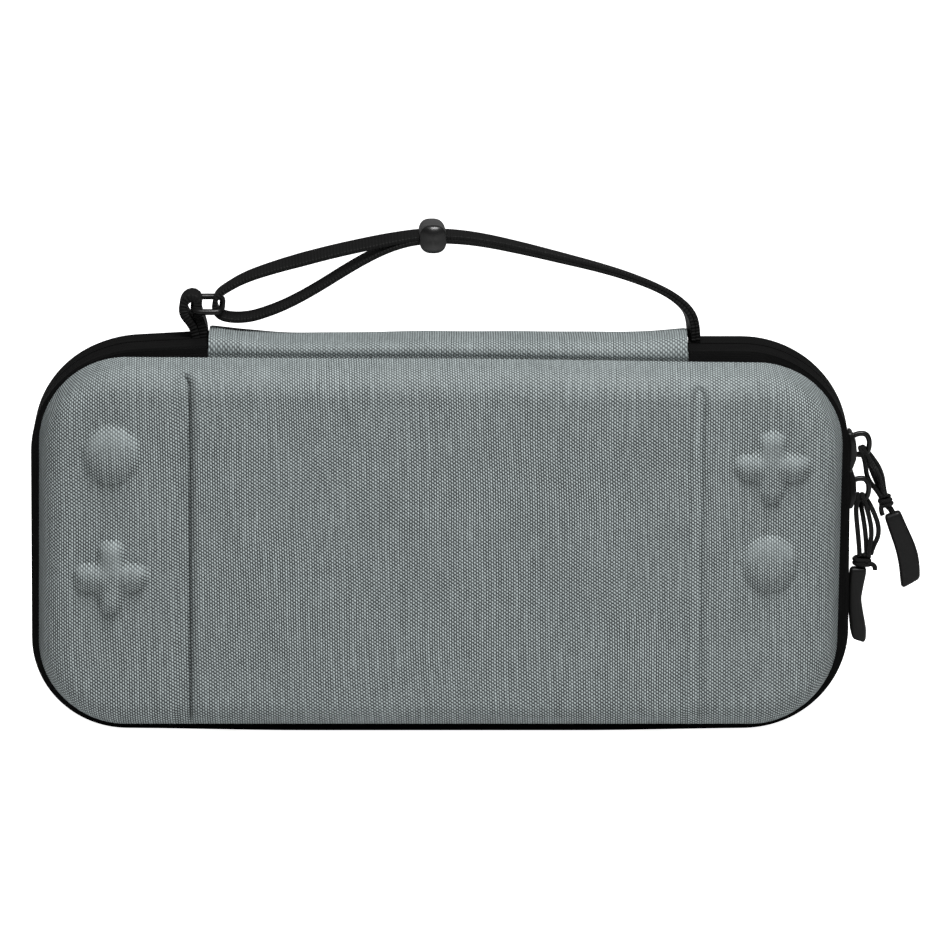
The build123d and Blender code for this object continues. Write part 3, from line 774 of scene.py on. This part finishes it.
def zip_band(name, front, finish):
    """Half of the zip band: flat tape along the outline, folded in over the shell's rim."""
    curve = path_curve(name + "_line", outline_places(0.0, SPINE_RIGHT + 0.3, SPINE_LEFT - 0.3), "POLY")
    length = path_length(curve)
    width = SEAM_DEPTH - TAPE_EDGE
    band = grid_piece(name, length, width, 1.5, 1.0)
    move_points(band, points_of(band) + np.array([length / 2, width / 2 + TAPE_EDGE, 0.0]))
    open_mesh("EDGE")
    bpy.ops.mesh.select_all(action="DESELECT")
    bpy.ops.object.mode_set(mode="OBJECT")
    for edge in band.data.edges:
        ends = [band.data.vertices[i].co.y / MM for i in edge.vertices]
        edge.select = min(ends) > SEAM_DEPTH - 0.01
    bpy.ops.object.mode_set(mode="EDIT")
    for fall in FLANGE_FALLS:
        bpy.ops.mesh.extrude_region_move(TRANSFORM_OT_translate={"value": (0.0, 0.0, -fall * MM)})
    clear_selection()
    points = points_of(band)
    lay_uv(band, np.stack([points[:, 0], points[:, 1] - points[:, 2]], axis=1))
    work(band, "SOLIDIFY", thickness=TAPE_THICKNESS * MM, offset=-1.0)
    ease_edges(band, 0.55, 3)
    if front:
        move_points(band, points_of(band) * np.array([1.0, -1.0, 1.0]))
    follow(band, curve)
    pick(band)
    open_mesh()
    bpy.ops.mesh.normals_make_consistent(inside=False)
    clear_selection()
    return finish_piece(band, finish)


TOOTH_LENGTH = 0.95
TOOTH_PITCH = 1.55


def zip_chain(name, front, finish):
    """One row of the zip: small rounded teeth on the inside of its tape."""
    inset = TAPE_THICKNESS + COIL_THICKNESS / 2
    curve = path_curve(name + "_line", outline_places(inset, SPINE_RIGHT + 0.6, SPINE_LEFT - 0.6), "POLY")
    chain = block_piece(name, (TOOTH_LENGTH, COIL_WIDTH, COIL_THICKNESS))
    side = -1.0 if front else 1.0
    bpy.ops.transform.translate(value=(0.5 * MM, side * (TAPE_EDGE + COIL_WIDTH / 2) * MM, 0.0))
    settle()
    work(chain, "BEVEL", width=0.3 * MM, segments=2)
    work(chain, "ARRAY", use_relative_offset=False, use_constant_offset=True,
         constant_offset_displace=(TOOTH_PITCH * MM, 0.0, 0.0), count=int(path_length(curve) / TOOTH_PITCH))
    follow(chain, curve)
    return finish_piece(chain, finish)


# Spine: places along it and how far its crown lifts there, its foot, its rise and its cloth's thickness
SPINE_LIFT = [
    (-74.0, 3.3), (-68.0, 2.0), (-50.0, 0.3), (-30.0, 0.3), (-6.0, 0.8),
    (25.0, 0.8), (57.6, 0.4), (72.0, 1.2), (79.0, 2.2),
]
SPINE_FOOT = CASE_HEIGHT - 0.9
SPINE_RISE = 2.9
SPINE_CLOTH_THICKNESS = 0.9


def spine_cover(name, finish, lining):
    """Flat-topped cloth panel along the top edge, its crown wavering and its ends lifted."""
    turn = np.linspace(-pi / 2, pi / 2, 181)
    arch_y = (SEAM_DEPTH - 0.1) * np.sign(np.sin(turn)) * np.abs(np.sin(turn)) ** 0.6
    arch_h = np.abs(np.cos(turn)) ** 0.6
    y_line = np.concatenate([[-9.5, -9.5, -9.75], arch_y, [9.9, 9.9]])
    z_line = np.concatenate([[-4.0, -0.7, -0.3], np.zeros(181), [-1.0, -4.0]])
    h_line = np.concatenate([[0.0, 0.0, 0.0], arch_h, [0.0, 0.0]])
    steps = np.hypot(np.diff(y_line), np.diff(z_line + SPINE_RISE * h_line))
    run = np.concatenate([[0.0], np.cumsum(steps)])
    cover = grid_piece(name, SPINE_RIGHT - SPINE_LEFT, run[-1], 1.5, 0.6)
    flat = points_of(cover)
    x = flat[:, 0] + (SPINE_LEFT + SPINE_RIGHT) / 2
    v = flat[:, 1] + run[-1] / 2
    y = np.interp(v, run, y_line)

    # Columns crowd towards the ends, where the cloth turns down
    gap = np.minimum(x - SPINE_LEFT, SPINE_RIGHT - x)
    nearer = np.interp(gap, [0.0, 1.5, 3.0, 6.0], [0.0, 0.25, 1.1, 6.0])
    x = np.where(gap > 6.0, x, np.where(x < 0, SPINE_LEFT + nearer, SPINE_RIGHT - nearer))
    fine = np.linspace(SPINE_LEFT, SPINE_RIGHT, 155)
    lift = eased(np.interp(fine, *zip(*SPINE_LIFT)), 6)
    ripple = 0.10 * np.sin(x / 6.1 + 0.4 * v) * np.cos(x / 17.0)
    crown = SPINE_RISE + np.interp(x, fine, lift) + ripple
    z = SPINE_FOOT + np.interp(v, run, z_line) + crown * np.interp(v, run, h_line)
    sag = 1.4 * soft_step((x + 10.0) / 100.0) - 0.3 * soft_step((-x - 20.0) / 60.0)
    z -= sag * soft_step((-6.0 - y) / 4.0)
    z = np.where(gap < 0.1, np.minimum(z, SPINE_FOOT + 0.2), z - 0.25 * (gap < 2.0))
    move_points(cover, np.stack([x, y, z], axis=1))
    lay_uv(cover, np.stack([x, v], axis=1))
    cover.data.materials.append(finish)
    cover.data.materials.append(lining)
    work(cover, "SOLIDIFY", thickness=SPINE_CLOTH_THICKNESS * MM, offset=-1.0, material_offset=1)
    ease_edges(cover, 0.3, angle_deg=60.0)
    smooth(cover, 50.0)
    return cover


# Corded pulls, in the frame of a slider's bridge, hanging along -Z

def hang(points, bridge_z, lean):
    """Takes points from a bridge's frame to the case's, leaning out to the right."""
    points = np.asarray(points, dtype=float)
    x = points[:, 0] * cos(lean) - points[:, 2] * sin(lean)
    z = points[:, 0] * sin(lean) + points[:, 2] * cos(lean)
    return np.stack([x + PIVOT_X, points[:, 1], z + bridge_z], axis=1)


def cord_line(start, front, back, layer):
    """Route of one loop of cord: up from the knot, through the bridge and back.

    A run is its places across, near the bridge, at its bow and at its end."""
    top, near, middle, gathered = -1.5, -5.535, -12.71, -19.1
    front_y, back_y = layer - 0.8, layer + 0.8
    return [
        (front[2], front_y, -CORD_LENGTH), (front[2], front_y, gathered), (front[1], front_y, middle),
        (front[0], -2.15, near), (start, -2.15, top), (start, 2.15, top), (back[0], 2.15, near),
        (back[1], back_y, middle), (back[2], back_y, gathered), (back[2], back_y, -CORD_LENGTH),
    ]


def round_cord(name, points, diameter, finish):
    """A round cord along a smooth line with those control points."""
    cord = spline_curve(name, points, "3D", resolution=10)
    cord.data.bevel_depth = diameter / 2 * MM
    cord.data.bevel_resolution = 3
    cord.data.use_fill_caps = True
    cord.data.materials.append(finish)
    return cord


def pull_knot(name, side_x, layer, bridge_z, lean, spread, tail, neck, finish):
    """Cord wound round itself and tucked through, with a short tail and a stem into the grip."""
    centre = np.array([side_x, layer, 0.3 - CORD_LENGTH - KNOT_LENGTH / 2])
    wound = [(0.0, 0.0, 2.3), (0.5, 0.0, 1.9)]
    for count in range(15):
        angle = radians(60.0 * count)
        wound.append((spread * cos(angle), 1.85 * sin(angle), 1.45 - 2.9 * count / 14))
    x, z = tail
    wound += [(x * 0.25, -0.4, -0.5), (x * 0.75, -1.5, -0.5), (x, -1.8, z * 0.5), (x, -1.8, z)]
    stem = [(0.0, 0.0, -0.8), (neck * 0.3, 0.0, -2.0), (neck, 0.0, -2.8), (neck * 1.2, 0.0, -5.2)]
    parts = []
    for part, line, diameter in ((name, wound, CORD_DIAMETER), (name + "_stem", stem, STEM_DIAMETER)):
        placed = hang(np.array(line) + centre, bridge_z, lean)
        parts.append(as_mesh(round_cord(part, placed, diameter, finish)))
    knot = join(*parts)
    smooth(knot, 60.0)
    return knot


# Places along a grip at which its widths and bow are given, and its block's size and cuts
GRIP_SHARES = [0.0, 0.1, 0.25, 0.45, 0.65, 0.85, 1.0]
GRIP_WIDTH = 6.6
GRIP_THICKNESS = 4.0
GRIP_CUTS = 24


def pull_grip(name, place, length, bridge_z, lean, bow, twist_deg, widths, slanted, finish):
    """Moulded finger grip with a waist, a bow to one side, a slanted end and a slight twist."""
    grip = block_piece(name, (GRIP_WIDTH, GRIP_THICKNESS, length))
    open_mesh()
    bpy.ops.mesh.bevel(offset=1.3 * MM, segments=5, affect="EDGES")
    for count in range(1, GRIP_CUTS):
        bpy.ops.mesh.select_all(action="SELECT")
        level = (count / GRIP_CUTS - 0.5) * (length - 2.8)
        bpy.ops.mesh.bisect(plane_co=(0.0, 0.0, level * MM), plane_no=(0.0, 0.0, 1.0))
    clear_selection()
    points = points_of(grip)
    share = 0.5 - points[:, 2] / length
    slant = slanted * np.clip((share - 0.3) / 0.7, 0.0, 1.0) ** 2 * (points[:, 0] / GRIP_WIDTH + 0.5)
    x = points[:, 0] * np.interp(share, GRIP_SHARES, widths) / GRIP_WIDTH
    y = points[:, 1] * np.interp(share, [0.0, 0.12, 0.45, 0.8, 1.0], [0.95, 1.0, 0.8, 0.86, 0.78])
    z = points[:, 2] - length / 2 + slant
    turn = radians(twist_deg) * share
    even = np.linspace(0, 1, 101)
    line = eased(np.interp(even, GRIP_SHARES, bow), 8)
    across = x * np.cos(turn) - y * np.sin(turn) + np.interp(share, even, line)
    deep = x * np.sin(turn) + y * np.cos(turn)
    move_points(grip, hang(np.stack([across, deep, z], axis=1) + np.array(place), bridge_z, lean))
    work(grip, "SUBSURF", levels=1, render_levels=1)
    return finish_piece(grip, finish, 60.0)


# Bead, ring and sliders

# Bead: (place along its axis, radius) from its front end to its back end
BEAD_PROFILE = [
    (-2.75, 0.0), (-2.72, 1.4), (-2.5, 2.6), (-2.0, 3.5), (-1.2, 4.15), (-0.4, 4.4), (0.3, 4.35),
    (0.62, 4.15), (0.8, 4.05), (0.98, 4.15), (1.3, 4.3), (2.6, 4.35), (5.3, 4.4), (8.0, 4.35),
    (10.4, 4.2), (11.5, 3.7), (12.1, 2.5), (12.3, 1.2), (12.35, 0.0),
]
BEAD_FRONT = BEAD_PROFILE[0][0]
BEAD_JOINT = 0.8
BEAD_PLACE = (-2.25, 160.35)
BEAD_SQUARENESS = 2.6


def strap_bead(name, front_finish, lit_back_finish):
    """Barrel bead across the doubled strap: a polished, rounded front end and a duller body, painted lighter
    for the light on its top.
    """
    x, z = BEAD_PLACE
    clear_selection()
    bpy.ops.mesh.primitive_plane_add(size=MM, location=(x * MM, BEAD_FRONT * MM, z * MM))
    bead = name_piece(name)
    settle()
    open_mesh()
    bpy.ops.mesh.merge(type="CENTER")
    for (y, radius), (next_y, next_radius) in zip(BEAD_PROFILE, BEAD_PROFILE[1:]):
        step = (0.0, (next_y - y) * MM, (next_radius - radius) * MM)
        bpy.ops.mesh.extrude_region_move(TRANSFORM_OT_translate={"value": step})
    bpy.ops.mesh.select_all(action="SELECT")
    bpy.ops.mesh.spin(steps=56, angle=2 * pi, center=(x * MM, 0.0, z * MM), axis=(0.0, 1.0, 0.0))
    bpy.ops.mesh.select_all(action="SELECT")
    bpy.ops.mesh.remove_doubles(threshold=0.0001 * MM)
    bpy.ops.mesh.normals_make_consistent(inside=False)
    clear_selection()
    points = points_of(bead)
    side, up = points[:, 0] - x, points[:, 2] - z
    turn = np.arctan2(up, side)
    round_off = np.abs(np.cos(turn)) ** BEAD_SQUARENESS + np.abs(np.sin(turn)) ** BEAD_SQUARENESS
    squarer = round_off ** (-1 / BEAD_SQUARENESS)
    points[:, 0] = x + side * squarer - 0.05 * (points[:, 1] + 1.0)
    points[:, 2] = z + up * squarer * 1.04
    bulge = 2.3 * ((points[:, 0] - x) / 4.6) ** 2 + 1.5 * np.abs((points[:, 2] - z) / 4.7) ** 5
    front = points[:, 1] < -0.35
    points[front, 1] = BEAD_FRONT + np.minimum(bulge, 2.3)[front]
    move_points(bead, points)
    bead.data.materials.append(front_finish)
    bead.data.materials.append(lit_back_finish)
    # Faces behind the joint take the duller finish, painted lighter for the light on the top
    for face in bead.data.polygons:
        face.material_index = int(face.center.y > BEAD_JOINT * MM)
    work(bead, "SUBSURF", levels=1, render_levels=1)
    smooth(bead, 60.0)
    return bead


# Ring: its middle, half sizes, wire's radius, slope and squareness
RING_PLACE = (-74.3, STRAP_Y, 137.6)
RING_HALF = (4.6, 6.2)
RING_WIRE = 0.95
RING_SLOPE = 0.17
RING_SQUARENESS = 4.5


def link_ring(name, finish):
    """Rounded rectangle of wire, lying nearly level between the tab and the strap."""
    first_radius = 10.0
    clear_selection()
    bpy.ops.mesh.primitive_torus_add(
        major_segments=72, minor_segments=14, major_radius=first_radius * MM, minor_radius=RING_WIRE * MM
    )
    ring = name_piece(name)
    points = points_of(ring)
    turn = np.arctan2(points[:, 1], points[:, 0])
    out = np.hypot(points[:, 0], points[:, 1]) - first_radius
    ways = np.stack([np.cos(turn), np.sin(turn)], axis=1)
    share = np.sign(ways) * np.abs(ways) ** (2.0 / RING_SQUARENESS)
    face = np.sign(ways) * np.abs(share) ** (RING_SQUARENESS - 1.0) / RING_HALF
    plan = share * RING_HALF + out[:, None] * face / np.linalg.norm(face, axis=1)[:, None]
    height = points[:, 2] + RING_SLOPE * plan[:, 1]
    move_points(ring, np.column_stack([plan, height]) + np.array(RING_PLACE))
    return finish_piece(ring, finish, 60.0)


def rounded_block(name, size, place, round_edge):
    block = block_piece(name, size)
    work(block, "BEVEL", width=round_edge * MM, segments=3)
    move_points(block, points_of(block) + np.array(place))
    return block


SLIDER_LENGTH = 12.4
SLIDER_WIDTH = 8.8
BRIDGE_BAR = [
    (131.9, 0.0, 3.0), (133.4, 0.0, 3.8), (136.0, 0.0, 4.0), (137.4, 0.0, 2.4), (137.5, 0.0, -0.8),
    (136.4, 0.0, -3.1), (133.4, 0.0, -3.1), (131.9, 0.0, -2.6),
]
BRIDGE_DIAMETER = 1.8


def zip_slider(name, bridge_z, toward, shift, drop, finish):
    """Slider astride the zip: a rounded plate on each side, a post between and a round-bar bridge."""
    outer_x = CASE_WIDTH / 2
    inner_x = outer_x - TAPE_THICKNESS - COIL_THICKNESS - 1.0
    middle = bridge_z + shift
    corner = BAND_CORNERS[(1, 1)]
    parts = []
    for x, thick in ((outer_x + 1.2, 2.4), (inner_x - 1.2, 1.2)):
        plate = rounded_block(name + "_plate", (thick, SLIDER_WIDTH, SLIDER_LENGTH), (x, 0.0, middle), 0.55)
        work(plate, "SUBSURF", levels=2, render_levels=2, subdivision_type="SIMPLE")
        points = points_of(plate)
        share = 0.5 + toward * (points[:, 2] - middle) / SLIDER_LENGTH
        points[:, 1] *= np.interp(share, [0.0, 0.35, 0.8, 1.0], [0.55, 0.66, 1.0, 0.78])
        foot_x = x - thick / 2
        points[:, 0] = foot_x + (points[:, 0] - foot_x) * (1.0 - 0.6 * np.abs(2 * share - 1) ** 3)
        over = np.maximum(points[:, 2] - (CASE_HEIGHT - corner), 0.0)
        points[:, 0] -= corner - np.sqrt(corner**2 - over**2)
        move_points(plate, points)
        parts.append(plate)
    post_size = (outer_x - inner_x + 1.8, 0.8, 2.4)
    post_place = ((outer_x + inner_x) / 2 - 0.3, 0.0, middle + toward * 3.4)
    parts.append(rounded_block(name + "_post", post_size, post_place, 0.2))
    bar = np.array(BRIDGE_BAR) + np.array([0.0, 0.0, bridge_z - drop])
    parts.append(as_mesh(round_cord(name + "_bridge", bar, BRIDGE_DIAMETER, finish)))
    slider = join(*parts)
    slider.name = name
    slider.data.name = name
    slider.data.materials.clear()
    return finish_piece(slider, finish, 45.0)


# Inside of the lid

def half_width_at(z, inset):
    """Half width of the case's outline at a height."""
    radius = CORNER_RADIUS - inset
    drop = np.clip(CORNER_RADIUS - z, 0.0, radius)
    return CASE_WIDTH / 2 - CORNER_RADIUS + np.sqrt(np.maximum(radius**2 - drop**2, 0.0))


NET_INSET = 1.9
NET_CELL = 3.3
NET_BAR = 0.42
NET_THICKNESS = 0.5
ELASTIC_WIDTH = 8.0
ELASTIC_THICKNESS = 1.1


def pocket_net(name, finish):
    """Stretched net over the lower part of the lid: square meshes with knitted bars."""
    bottom = NET_INSET + 0.2
    top = POCKET_TOP - 1.0
    net = grid_piece(name, CASE_WIDTH - 2 * NET_INSET, top - bottom, NET_CELL, NET_CELL)
    open_mesh("FACE")
    bpy.ops.mesh.inset(thickness=NET_BAR * MM, use_individual=True)
    bpy.ops.mesh.delete(type="FACE")
    clear_selection()
    points = points_of(net)
    z = points[:, 1] + (top + bottom) / 2
    x = points[:, 0] * half_width_at(z, NET_INSET) / (CASE_WIDTH / 2 - NET_INSET)
    sag = 0.05 * np.cos(np.clip(x / 129.0, -1, 1) * pi / 2) * np.sin(pi * (z - bottom) / (top - bottom))
    move_points(net, np.stack([x, 1.6 - SEAM_DEPTH - sag, z], axis=1))
    work(net, "SOLIDIFY", thickness=NET_THICKNESS * MM, offset=0.0)
    return finish_piece(net, finish)


def elastic_edge(name, finish):
    """Folded elastic along the net's mouth, slightly gathered."""
    strip = grid_piece(name, CASE_WIDTH - 2 * NET_INSET, ELASTIC_WIDTH, 0.9, 0.8)
    points = points_of(strip)
    x = points[:, 0]
    v = points[:, 1]
    lay_uv(strip, np.stack([x, v], axis=1))
    swell = (0.25 + 0.16 * np.sin(2 * pi * x / 2.6)) * np.cos(v / ELASTIC_WIDTH * pi)
    move_points(strip, np.stack([x, 2.8 - SEAM_DEPTH - swell, v + POCKET_TOP - ELASTIC_WIDTH / 2], axis=1))
    work(strip, "SOLIDIFY", thickness=ELASTIC_THICKNESS * MM, offset=0.0)
    ease_edges(strip, 0.3)
    return finish_piece(strip, finish)


# Finishes

CLOTH = woven_cloth("grey_weave", 0.183, 0.97, moulded=True)
BACK_CLOTH = woven_cloth("back_weave", 0.183, 0.97)
SPINE_CLOTH = woven_cloth("spine_weave", 0.182, 0.64)
LINING = brushed_lining("black_nap", 0.022)
TAPE = tape_cloth("black_tape", 0.0035, 0.9)
WEBBING = ribbed_webbing("black_webbing", 0.0035, 1.05, WEB_WIDTH / 2)
CORD = braided_cord("black_cord", 0.003)
GLOSS = moulded_plastic("polished_black", 0.003, 0.32, 2.2, 0.4)
# The bead's duller body is painted lighter for the light that falls on its top
DULL_PAINTED_LIGHTER = moulded_plastic("dull_black_painted_lighter", 0.036, 0.55, 4.0, 0.3)
ENAMEL = moulded_plastic("black_enamel", 0.003, 0.30, 3.5, 0.2)
RUBBER = moulded_plastic("soft_black", 0.004, 0.46, 5.0, 0.15)
NET = knitted_net("black_net", 0.010)


def dress(piece, body, slot, *nodes):
    """Puts a piece on the body that carries it and hides the solids it stands for. The slot is not used."""
    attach(piece, body)
    if nodes:
        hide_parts(*nodes)


front_cover = shell_cover("front_cover", CLOTH, LINING, 0.74, True, face_relief)
dress(front_cover, "lid", "shell_fabric", "front_shell")
back_cover = shell_cover("back_cover", BACK_CLOTH, LINING, 2.0, False)
turn_to_back(back_cover)
dress(back_cover, "base", "shell_fabric", "back_shell")
spine = spine_cover("spine_cover", SPINE_CLOTH, LINING)
dress(spine, "base", "spine_fabric", "hinge_spine")
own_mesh(spine)

for side, body in (("front", "lid"), ("back", "base")):
    dress(zip_band(side + "_band", side == "front", TAPE), body, "zip_tape", side + "_zip_tape")
    dress(zip_chain(side + "_chain", side == "front", ENAMEL), body, "zip_coil", side + "_zip_coil")

STRAP_LINE = [
    (81.7, 126.05), (81.7, 131.8), (79.3, 137.2), (72.2, 142.5), (62.2, 146.7), (52.4, 149.9), (39.3, 153.3),
    (26.2, 156.6), (13.1, 159.5), (2.6, 160.7), (-6.7, 160.5), (-14.6, 159.2), (-24.4, 157.2), (-34.1, 155.0),
    (-43.9, 152.4), (-53.0, 149.8), (-62.5, 146.5), (-68.6, 142.9), (-71.6, 140.7), (-72.4, 137.2),
    (-70.8, 134.2), (-66.3, 133.2), (-61.2, 133.5), (-57.1, 134.6), (-50.5, 137.1), (-43.9, 140.5),
    (-37.4, 144.4), (-30.9, 148.6), (-24.4, 152.5), (-17.8, 155.9), (-11.3, 158.2), (-5.5, 159.1),
    (2.6, 159.3), (12.9, 158.2), (26.0, 155.3), (38.9, 152.0), (52.0, 148.7), (61.9, 145.5), (71.4, 141.5),
    (78.1, 136.5), (80.3, 131.5), (80.3, 126.05),
]
STRAP_TILTS = [
    (0.0, 9.0), (0.055, 12.0), (0.115, 10.0), (0.19, 4.0), (0.27, -1.0), (0.33, -7.0), (0.405, -8.0),
    (0.475, -1.0), (0.50, 1.0), (0.545, 2.0), (0.635, 3.0), (0.70, 2.0), (0.715, 1.0), (0.79, -4.0),
    (0.865, -10.0), (0.925, -12.0), (1.0, -9.0),
]
TAB_LINE = [
    (-75.6, 126.05), (-75.7, 129.5), (-76.6, 133.0), (-77.9, 136.0), (-77.2, 139.8), (-79.7, 141.0),
    (-82.0, 139.2), (-82.3, 135.4), (-79.9, 132.6), (-78.4, 129.8), (-77.8, 126.05),
]
strap = webbing_strip("strap", STRAP_LINE, STRAP_TILTS, STRAP_THICKNESS, WEBBING)
dress(strap, "base", "webbing", "wrist_strap")
tab = webbing_strip("tab", TAB_LINE, [(0.0, 0.0), (1.0, 0.0)], TAB_THICKNESS, WEBBING)
dress(tab, "base", "webbing", "strap_tab")
dress(link_ring("ring", ENAMEL), "base", "ring_enamel", "strap_ring")
dress(strap_bead("bead", GLOSS, DULL_PAINTED_LIGHTER), "bead", "bead_plastic", "strap_bead")

# Each slider: height of its bridge, the way it points, shift of its plates and drop of its bar
SLIDERS = {"upper": (UPPER_SLIDER_Z, 1.0, -1.9, 0.6), "lower": (LOWER_SLIDER_Z, -1.0, 0.8, 0.0)}
for side, (bridge_z, toward, shift, drop) in SLIDERS.items():
    slider = zip_slider(side + "_slider_body", bridge_z, toward, shift, drop, ENAMEL)
    dress(slider, side + "_zip_slider", "slider_enamel", side + "_slider")

# Each loop of a pull: where it crosses the bridge, and its front and back runs
UPPER_LOOPS = [
    (-0.4, (-0.2, -1.9, 0.3), (0.6, 0.4, 0.9)),
    (0.4, (1.2, 2.2, 1.4), (2.0, 3.4, 1.9)),
]
LOWER_LOOPS = [
    (-0.4, (-1.2, -0.5, 0.1), (0.8, 2.0, 2.4)),
    (0.9, (2.6, 4.2, 2.9), (4.0, 7.0, 3.9)),
]

# Each knot: place across, spread, end of its tail and lean of its stem
UPPER_KNOT = (1.2, 1.85, (-2.3, -3.4), 0.8)
LOWER_KNOT = (0.9, 2.7, (4.2, -2.4), -0.6)

# Each grip: place of its top, length, bow, twist, widths and slant of its end
GRIP_TOP = -CORD_LENGTH - KNOT_LENGTH
UPPER_GRIP = (
    (1.9, GRIP_TOP - 1.6), 24.9, [0.0, 0.0, 0.1, 0.3, 0.0, -1.1, -2.2], 8.0,
    [5.4, 5.7, 6.0, 6.5, 6.9, 7.0, 6.8], 1.0,
)
LOWER_GRIP = (
    (-0.2, GRIP_TOP + 0.7), 24.1, [0.0, -0.2, -0.6, -1.05, -0.5, 0.2, 0.6], -12.0,
    [5.4, 5.5, 4.9, 4.2, 4.8, 5.3, 4.2], -1.2,
)

# Each pull: height of its bridge, lean and layer, its knot, its grip and its loops
PULLS = {
    "upper": (UPPER_SLIDER_Z, UPPER_PULL_HANG, PULL_LAYER, UPPER_KNOT, UPPER_GRIP, UPPER_LOOPS),
    "lower": (LOWER_SLIDER_Z, 0.0, -PULL_LAYER, LOWER_KNOT, LOWER_GRIP, LOWER_LOOPS),
}
for side, (bridge_z, lean, layer, tied, shape, loops) in PULLS.items():
    knot_x, spread, tail, neck = tied
    (grip_x, grip_z), length, bow, twist, widths, slanted = shape
    body = side + "_pull"
    knot = pull_knot(side + "_knot", knot_x, layer, bridge_z, lean, spread, tail, neck, CORD)
    place = (grip_x, layer, grip_z)
    grip = pull_grip(side + "_grip", place, length, bridge_z, lean, bow, twist, widths, slanted, RUBBER)
    dress(knot, body, "pull_cord", side + "_pull_knot")
    dress(grip, body, "grip_rubber", side + "_pull_grip")
    for number, (start, front, back) in enumerate(loops):
        line = hang(cord_line(start, front, back, layer), bridge_z, lean)
        cord = round_cord(side + "_cord_" + str(number), line, CORD_DIAMETER, CORD)
        dress(cord, body, "pull_cord", *([] if number else [side + "_pull_cord"]))

net = pocket_net("net", NET)
dress(net, "lid", "pocket_net", "mesh_pocket")
binding = elastic_edge("net_edge", WEBBING)
dress(binding, "lid", "pocket_elastic", "pocket_binding")

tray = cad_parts["console_tray"].data
tray.materials.clear()
tray.materials.append(LINING)
for face in tray.polygons:
    face.material_index = 0


# Floor, light and camera

def studio_floor():
    """Pale floor, white to the camera."""
    clear_selection()
    bpy.ops.mesh.primitive_plane_add(size=6.0, location=(0.0, 0.0, 0.0))
    floor = name_piece("floor")
    settle()
    finish = Finish("pale_floor", Roughness=0.9, Specular_IOR_Level=0.0, Emission_Strength=1.0)
    seen = finish.node("ShaderNodeLightPath", {}, [], "Is Camera Ray")
    finish.paint("Base Color", finish.blend(seen, grey(0.8), grey(0.93)))
    finish.paint("Emission Color", finish.blend(seen, grey(0.0), grey(1.0)))
    floor.data.materials.append(finish.material)


def studio_world(low, level, high):
    """White to the eye, and a soft grade of light from below to overhead."""
    world = bpy.data.worlds.new("white_room")
    bpy.context.scene.world = world
    world.use_nodes = True
    bench = NodeBench(world.node_tree)
    place = bench.node("ShaderNodeTexCoord", {}, [], "Generated")
    height = bench.node("ShaderNodeSeparateXYZ", {}, [place], "Z")
    under = height.between(-0.3, 0.1)
    over = height.between(0.0, 0.9)
    glow = under * (level - low) + over * (high - level) + low
    seen = bench.node("ShaderNodeLightPath", {}, [], "Is Camera Ray")
    strength = glow + seen * (1.05 - glow)
    bench.feed(world.node_tree.nodes["Background"].inputs["Strength"], strength)
    world.node_tree.nodes["Background"].inputs["Color"].default_value = (1.0, 1.0, 1.0, 1.0)


def soft_light(name, place, target, size, power):
    data = bpy.data.lights.new(name, "AREA")
    data.shape = "RECTANGLE"
    data.size, data.size_y = size
    data.energy = power
    light = bpy.data.objects.new(name, data)
    light.location = place
    light.rotation_euler = (Vector(target) - Vector(place)).to_track_quat("-Z", "Y").to_euler()
    bpy.context.scene.collection.objects.link(light)


# Camera: the picture's pixels, the case's millimetres to each, and where it looks from
PICTURE_PIXELS = 950
PIXEL = 0.3209
SENSOR = 36.0
VIEW_UP = radians(15.0)
VIEW_DISTANCE = 2600.0
VIEW_CENTRE = (11.07, 79.68)


def photo_camera():
    data = bpy.data.cameras.new("camera")
    camera = bpy.data.objects.new("camera", data)
    bpy.context.scene.collection.objects.link(camera)
    forward = Vector((0.0, cos(VIEW_UP), -sin(VIEW_UP)))
    upward = Vector((0.0, sin(VIEW_UP), cos(VIEW_UP)))
    aim = Vector((VIEW_CENTRE[0], 0.0, 0.0)) + upward * VIEW_CENTRE[1]
    case_depth = Vector((0.0, -5.0, MID_HEIGHT)).dot(forward)
    camera.location = (aim - forward * (VIEW_DISTANCE - case_depth)) * MM
    camera.rotation_euler = forward.to_track_quat("-Z", "Y").to_euler()
    data.sensor_width = SENSOR
    data.lens = SENSOR * VIEW_DISTANCE / (PICTURE_PIXELS * PIXEL)
    data.clip_start = 0.05
    data.clip_end = 50.0
    bpy.context.scene.camera = camera


studio_floor()
studio_world(0.05, 0.12, 0.2)
soft_light("key", (0.11, -0.39, 0.92), (0.01, 0.0, 0.08), (0.5, 0.4), 13.0)
photo_camera()
bpy.context.scene.view_settings.view_transform = "Standard"
